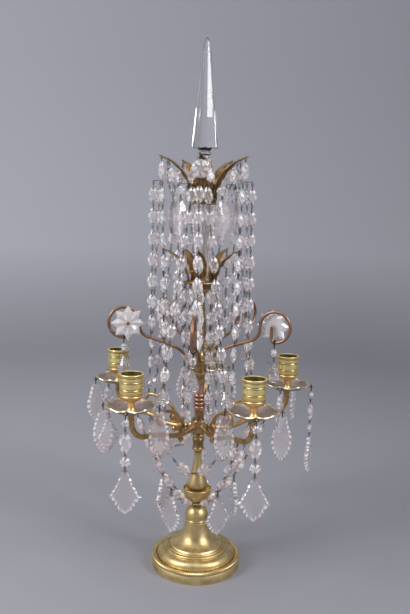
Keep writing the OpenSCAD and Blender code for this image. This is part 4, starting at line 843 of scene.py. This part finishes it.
# Colour of the grime and painted shade in the hollows:
WIRE_GRIME_AND_SHADE = (0.008, 0.007, 0.006, 1)
WIRE_R = 0.3
PIN_IN = 2.4
PIN_HEAD = 0.7
LOOP_R = 1.4
SPREADER_R = 0.3
EYE_WIRE_R = 0.6
TIP_NEAR = 1.6
DOT_IN = 1.0
TABLE_TILT = 0.8
FACET_SHARES = (0.4, 1.6)
STONE_T = 3
PEAR_T = 10
ROUND_SHARE = 1.15
KITE_W = 30
LEAF_H = 45
ALMOND_H = 30
cut_glass = clear_glass("cut_glass", GLASS_CLEAR, GLASS_MAUVE, 0.01, 0.085)
dark_wire = aged_metal("dark_wire", WIRE_PALE, WIRE_DEEP, WIRE_GRIME_AND_SHADE, 0.4, patches=300)


def stone(rings, name, table_haze, facet_haze):
    """Skins rings of points, from the back of a stone to its front, and closes both faces."""
    bm = bmesh.new()
    first = [bm.verts.new(p) for p in rings[0]]
    face = bm.faces.new(first)
    for ring in rings[1:]:
        face = bmesh.ops.extrude_discrete_faces(bm, faces=[face])["faces"][0]
        for vert, p in zip(face.verts, ring):
            vert.co = p
    back = [v for v in bm.verts if v.is_boundary]
    bmesh.ops.contextual_create(bm, geom=[e for e in bm.edges if e.is_boundary] + back)
    bmesh.ops.triangulate(bm, faces=[f for f in bm.faces if len(f.verts) == 4])
    bmesh.ops.recalc_face_normals(bm, faces=bm.faces)
    haze = bm.faces.layers.float.new("haze")
    bm.faces.index_update()
    for face in bm.faces:
        ground_facet = len(face.verts) == 3 and face.normal.z < TABLE_TILT
        face[haze] = facet_haze * FACET_SHARES[face.index % 2] if ground_facet else table_haze
    return kept(bm, name)


def oval(corners, pointed=0.0, turn=0.0):
    """An oval of unit width and length with flat stretches; pointed draws its two ends out."""
    angles = [radians(360 * (i + turn) / corners) for i in range(corners)]
    return [(0.5 * cos(a) * abs(cos(a)) ** pointed, 0.5 * sin(a)) for a in angles]


def ground(*half):
    """Rings of a stone from the layers of its front half: (depth, share of the size, outline)."""
    layers = [(-depth, share, outline) for depth, share, outline in half[::-1]] + list(half)
    rings = []
    for depth, share, outline in layers:
        rings.append([(depth, across * share, up * share) for across, up in outline])
    return rings


def mirrored(right):
    """The whole outline from its right half, which runs from the top to the bottom."""
    return right + [(-across, up) for across, up in right[::-1]]


def kite_outline(tooth, steps=20):
    """A kite with a narrow neck, hollow waved upper edges, a shoulder and a smaller round end with teeth."""
    right = []
    for i in range(steps + 1):
        t = i / steps
        u = (t - 0.6) / 0.4
        if t <= 0.6:
            half = 0.2 + 0.8 * (t / 0.6) ** 1.3 - tooth * abs(sin(3 * pi * t / 0.6))
        else:
            half = 1 - 0.96 * u ** 1.2 - 0.08 * sin(2 * pi * u) - tooth * (i % 2)
        right.append((0.5 * half, 0.5 - t))
    return mirrored(right)


def leaf_outline(wave, steps=18):
    """A long leaf, fullest below its middle, with a waved edge."""
    right = sweep((0.23, 0.5), (0.25, 0.25), (0.5, 0.2), (0.5, -0.05), steps // 2)
    right += sweep((0.5, -0.05), (0.5, -0.3), (0.2, -0.4), (0.04, -0.5), steps // 2)[1:]
    return mirrored([(across * (1 - wave * (i % 2)), up) for i, (across, up) in enumerate(right)])


kite = kite_outline(0.0)
toothed_kite = kite_outline(0.1)
leaf = leaf_outline(0.0)
waved_leaf = leaf_outline(0.08)
kite_table = [(0.76 * across, 0.88 * up + 0.02) for across, up in kite]
leaf_table = [(0.72 * across, 0.9 * up + 0.01) for across, up in leaf]
bead_girdle = oval(12, 0.25)
bead_table = oval(12, 0.25, 0.5)
round_girdle = oval(12)
round_table = oval(12, 0, 0.5)
almond_girdle = oval(12, 0.6)
almond_table = oval(12, 0.6, 0.5)
bead_rings = ground((0.12, 1, bead_girdle), (0.5, 0.55, bead_table))
round_rings = ground((0.06, 1, round_girdle), (0.32, 0.74, round_table), (0.5, 0.36, round_girdle))
almond_rings = ground((0.06, 1, almond_girdle), (0.28, 0.66, almond_table), (0.5, 0.2, almond_girdle))
kite_rings = ground((0.14, 1, toothed_kite), (0.46, 1, kite_table))
leaf_rings = ground((0.14, 1, waved_leaf), (0.46, 1, leaf_table))
bead_cut = stone(bead_rings, "bead_cut", 0.06, 0.25)
round_cut = stone(round_rings, "round_cut", 0.12, 0.24)
almond_cut = stone(almond_rings, "almond_cut", 0.4, 0.1)
kite_cut = stone(kite_rings, "kite_cut", 0.0, 0.45)
leaf_cut = stone(leaf_rings, "leaf_cut", 0.08, 0.34)
pear_line = [(0, -0.5), (0.2, -0.46), (0.42, -0.34), (0.5, -0.18)]
pear_line += [(0.42, 0.04), (0.22, 0.3), (0.12, 0.44), (0, 0.5)]
pear_cut = kept(spun(pear_line, 10, closed=False), "pear_cut")
ring_loop = bmesh.new()
bmesh.ops.create_circle(ring_loop, segments=5, radius=WIRE_R * MM)
bmesh.ops.rotate(ring_loop, verts=ring_loop.verts, matrix=Matrix.Rotation(pi / 2, 3, "X"))
bmesh.ops.translate(ring_loop, verts=ring_loop.verts, vec=(LOOP_R * MM, 0, 0))
bmesh.ops.spin(ring_loop, geom=ring_loop.verts[:] + ring_loop.edges[:], axis=(0, 0, 1), angle=2 * pi,
               steps=9, use_merge=True)
bmesh.ops.recalc_face_normals(ring_loop, faces=ring_loop.faces)
ring_loop = kept(ring_loop, "ring_loop")
pin_dot = bmesh.new()
bmesh.ops.create_icosphere(pin_dot, subdivisions=1, radius=PIN_HEAD * MM)
pin_dot = kept(pin_dot, "pin_dot")


def solids_of(node):
    """Centre, axes and sizes in millimetres of each separate solid in a node, in the order of its faces. The
    thinnest way comes first, and the longest points up."""
    bm = bmesh.new()
    bm.from_mesh(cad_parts[node].data)
    bmesh.ops.remove_doubles(bm, verts=bm.verts, dist=2e-6)
    bm.verts.index_update()
    bm.faces.index_update()
    seen = set()
    found = []
    for first in bm.faces:
        stack = [] if first.index in seen else [first]
        seen.add(first.index)
        points = {}
        while stack:
            face = stack.pop()
            points.update((vert.index, vert.co) for vert in face.verts)
            for other in [other for edge in face.edges for other in edge.link_faces]:
                if other.index not in seen:
                    seen.add(other.index)
                    stack.append(other)
        if len(points) < 6:
            continue
        points = np.array([points[index] for index in sorted(points)])
        axes = np.linalg.svd(points - points.mean(0), full_matrices=False)[2]
        spans = points @ axes.T
        order = np.argsort(spans.max(0) - spans.min(0))
        axes = axes[order]
        spans = spans[:, order]
        middle = (spans.max(0) + spans.min(0)) / 2 @ axes
        axes = [Vector(axis) for axis in axes]
        if axes[2].z < 0:
            axes[2].negate()
        found.append((Vector(middle), axes, (spans.max(0) - spans.min(0)) / MM))
    bm.free()
    return found


def outward(middle, along):
    """The way out from the stem, square to another way."""
    away = Vector((middle.x, middle.y, 0))
    away -= away.dot(along) * along
    return away.normalized()


def set_stone(bm, middle, axes, sizes):
    """Sets the cut that a solid's proportions call for into its place and size."""
    thick, wide, tall = sizes
    across, _, along = axes
    if tall < ROUND_SHARE * wide:
        cut = round_cut
    elif thick > PEAR_T:
        cut = pear_cut
    elif wide > KITE_W:
        cut = kite_cut
    elif tall > LEAF_H:
        cut = leaf_cut
    elif tall > ALMOND_H:
        cut = almond_cut
    else:
        cut = bead_cut
    if cut is round_cut:
        along = Vector((0, 0, 1)) - across.z * across
        along.normalize()
    if cut is pear_cut:
        across = outward(middle, along)
    if across.dot(Vector((middle.x, middle.y, 0))) < 0:
        across = -across
    columns = (across * thick * MM, along.cross(across) * wide * MM, along * tall * MM)
    place = Matrix(columns).transposed().to_4x4()
    place.translation = middle
    set_in(bm, cut, place)


def set_link(bm, middle, along, length, tips):
    """One wire link: a pin with two loops, which shows as dots on the faces of the stones at its ends."""
    away = outward(middle, along)
    at = middle / MM
    reach = length / 2
    stops = [-reach - PIN_IN, -reach, reach, reach + PIN_IN]
    rod(bm, [at + along * stop for stop in stops], [0.7 * WIRE_R] * len(stops), 1)
    for share, flat in ((-0.5, away), (0.5, along.cross(away))):
        spot = Matrix.Translation((at + along * share * 2 * LOOP_R) * MM)
        set_in(bm, ring_loop, spot @ flat.to_track_quat("Z", "Y").to_matrix().to_4x4())
    for end in (-1, 1):
        near = [tip for tip in tips if (tip[0] - (at + along * end * reach)).length < TIP_NEAR]
        if near:
            _, across, thick = near[0]
            for face in (-1, 1):
                dot = at + along * end * (reach + PIN_IN) + across * face * (thick / 2 - DOT_IN)
                set_in(bm, pin_dot, Matrix.Translation(dot * MM))


def set_eye(bm, middle, axes, sizes):
    """The wire eye that hangs on a lug or scroll, with its tail running into the stone below."""
    across, _, along = axes
    at = middle / MM
    eye_r = sizes[1] / 2 - sizes[0] / 2
    centre = at + along * (sizes[2] / 2 - sizes[1] / 2)
    side = across.cross(along)
    turn = [radians(20 * i - 90) for i in range(19)]
    hoop = [centre + side * eye_r * cos(a) + along * eye_r * sin(a) for a in turn]
    foot = at - along * sizes[2] / 2
    rod(bm, [foot - along * PIN_IN, foot] + hoop, [EYE_WIRE_R] * (len(hoop) + 2), 2)


def set_spreader(bm, middle, axes, sizes):
    """The flat wire tee under a tip drop: a bar across, with one arm out from the stem."""
    out = axes[1] if axes[1].dot(middle) > 0 else -axes[1]
    cross = middle / MM - out * (sizes[1] - sizes[0]) / 2
    half = axes[2] * (sizes[2] - sizes[0]) / 2
    rod(bm, [cross - half, cross, cross + half], [SPREADER_R] * 3, 2)
    rod(bm, [cross, cross + out * (sizes[1] - sizes[0])], [SPREADER_R] * 2, 2)


def dressed(*nodes):
    """The glass and the wire of some nodes, as two meshes."""
    glass = bmesh.new()
    wire = bmesh.new()
    solids = [solid for node in nodes for solid in solids_of(node)]
    stones = [solid for solid in solids if solid[2][0] > STONE_T]
    tips = []
    for middle, axes, sizes in stones:
        set_stone(glass, middle, axes, sizes)
        for end in (-1, 1):
            tips.append((middle / MM + axes[2] * end * sizes[2] / 2, axes[0], sizes[0]))
    for middle, axes, sizes in solids:
        if sizes[1] < STONE_T:
            set_link(wire, middle, axes[2], sizes[2], tips)
        elif sizes[0] < STONE_T and abs(axes[0].z) > 0.9:
            set_spreader(wire, middle, axes, sizes)
        elif sizes[0] < STONE_T:
            set_eye(wire, middle, axes, sizes)
    bmesh.ops.recalc_face_normals(wire, faces=wire.faces)
    return glass, wire


# Rosettes
# Five flat glass stars of eight petals, pressed and then ground along each petal, drilled through the middle
# for the pins of the upper scrolls.
PETALS = 8
ROSETTE_R = 20.5


def star(tip, valley, tip_up, valley_up):
    """A ring of petal tips and the valleys between them."""
    ring = []
    for i in range(2 * PETALS):
        angle = pi * i / PETALS
        radius, up = (valley, valley_up) if i % 2 else (tip, tip_up)
        ring.append((radius * cos(angle) * MM, radius * sin(angle) * MM, up * MM))
    return ring


rosette_rings = [
    star(0.72 * ROSETTE_R, 0.5 * ROSETTE_R, 0, 0),
    star(ROSETTE_R, 0.68 * ROSETTE_R, 1.3, 1.3),
    star(ROSETTE_R, 0.68 * ROSETTE_R, 2.1, 2.1),
    star(0.62 * ROSETTE_R, 0.5 * ROSETTE_R, rosette_t, 1.9),
    star(0.25 * ROSETTE_R, 0.25 * ROSETTE_R, 3.4, 2.6),
]
rosette = stone(rosette_rings, "rosette", 0.35, 0.55)
rosette_bm = bmesh.new()
seat_place = Matrix.Translation((eye + Vector((0, rosette_face, 0))) * MM)
for angle in SCROLL_ANGLES:
    spin_place = Matrix.Rotation(radians(angle), 4, "Z")
    set_in(rosette_bm, rosette, spin_place @ seat_place @ Matrix.Rotation(-pi / 2, 4, "X"))
fitted(made_object("rosettes_cut", rosette_bm, cut_glass, 3), "stand", "cut_glass", "rosettes")

# Bead strings and crown drops
# Strings of flat beads run from the crowns to the scrolls and the arms, and round the column. A round
# brilliant hangs from each upper leaf over a little wire tee, and an almond drop hangs between the leaves.
string_glass, string_wire = dressed("string_beads", "string_wires", "crown_drops")
strings = made_object("strings_cut", string_glass, cut_glass, 3)
fitted(strings, "stand", "cut_glass", "string_beads", "crown_drops")
fitted(made_object("string_links", string_wire, dark_wire), "stand", "dark_wire", "string_wires")

# Bead swags and their plaques
# Larger rose-tinted beads swing from arm to arm and in to the neck of the stem, on the same dark wire. A kite
# plaque hangs in each swag.
SWAG_PALE = (0.965, 0.915, 0.905, 1)
SWAG_ROSE = (0.93, 0.81, 0.80, 1)
rose_glass = clear_glass("rose_glass", SWAG_PALE, SWAG_ROSE, 0.03, 0.28)
swag_glass, swag_wire = dressed("swag_beads", "swag_wires")
fitted(made_object("swags_cut", swag_glass, rose_glass, 3), "stand", "cut_glass", "swag_beads")
fitted(made_object("swag_links", swag_wire, dark_wire), "stand", "dark_wire", "swag_wires")
plaque_glass, plaque_wire = dressed("swag_plaques")
fitted(made_object("swag_plaques_cut", plaque_glass, cut_glass, 3), "stand", "cut_glass", "swag_plaques")
fitted(made_object("swag_plaque_hooks", plaque_wire, dark_wire), "stand", "dark_wire")

# Hanging chains, plaques and drops
# Each drip pan carries two beads, a disc and a kite plaque on its outer lug and a leaf plaque on each side
# lug. A pear drop hangs from each upper scroll. Every one swings freely on its wire eye.
HANGINGS = {"kite_chain": "chain", "side_plaques": "side_pair", "scroll_drop": "drop"}
for hanging, body in HANGINGS.items():
    for k in range(1, COUNT + 1):
        glass, wire = dressed(f"{hanging}_{k}")
        hung = made_object(f"{hanging}_{k}_cut", glass, cut_glass, 3)
        fitted(hung, f"{body}_{k}", "cut_glass", f"{hanging}_{k}")
        fitted(made_object(f"{hanging}_{k}_wire", wire, dark_wire), f"{body}_{k}", "dark_wire")
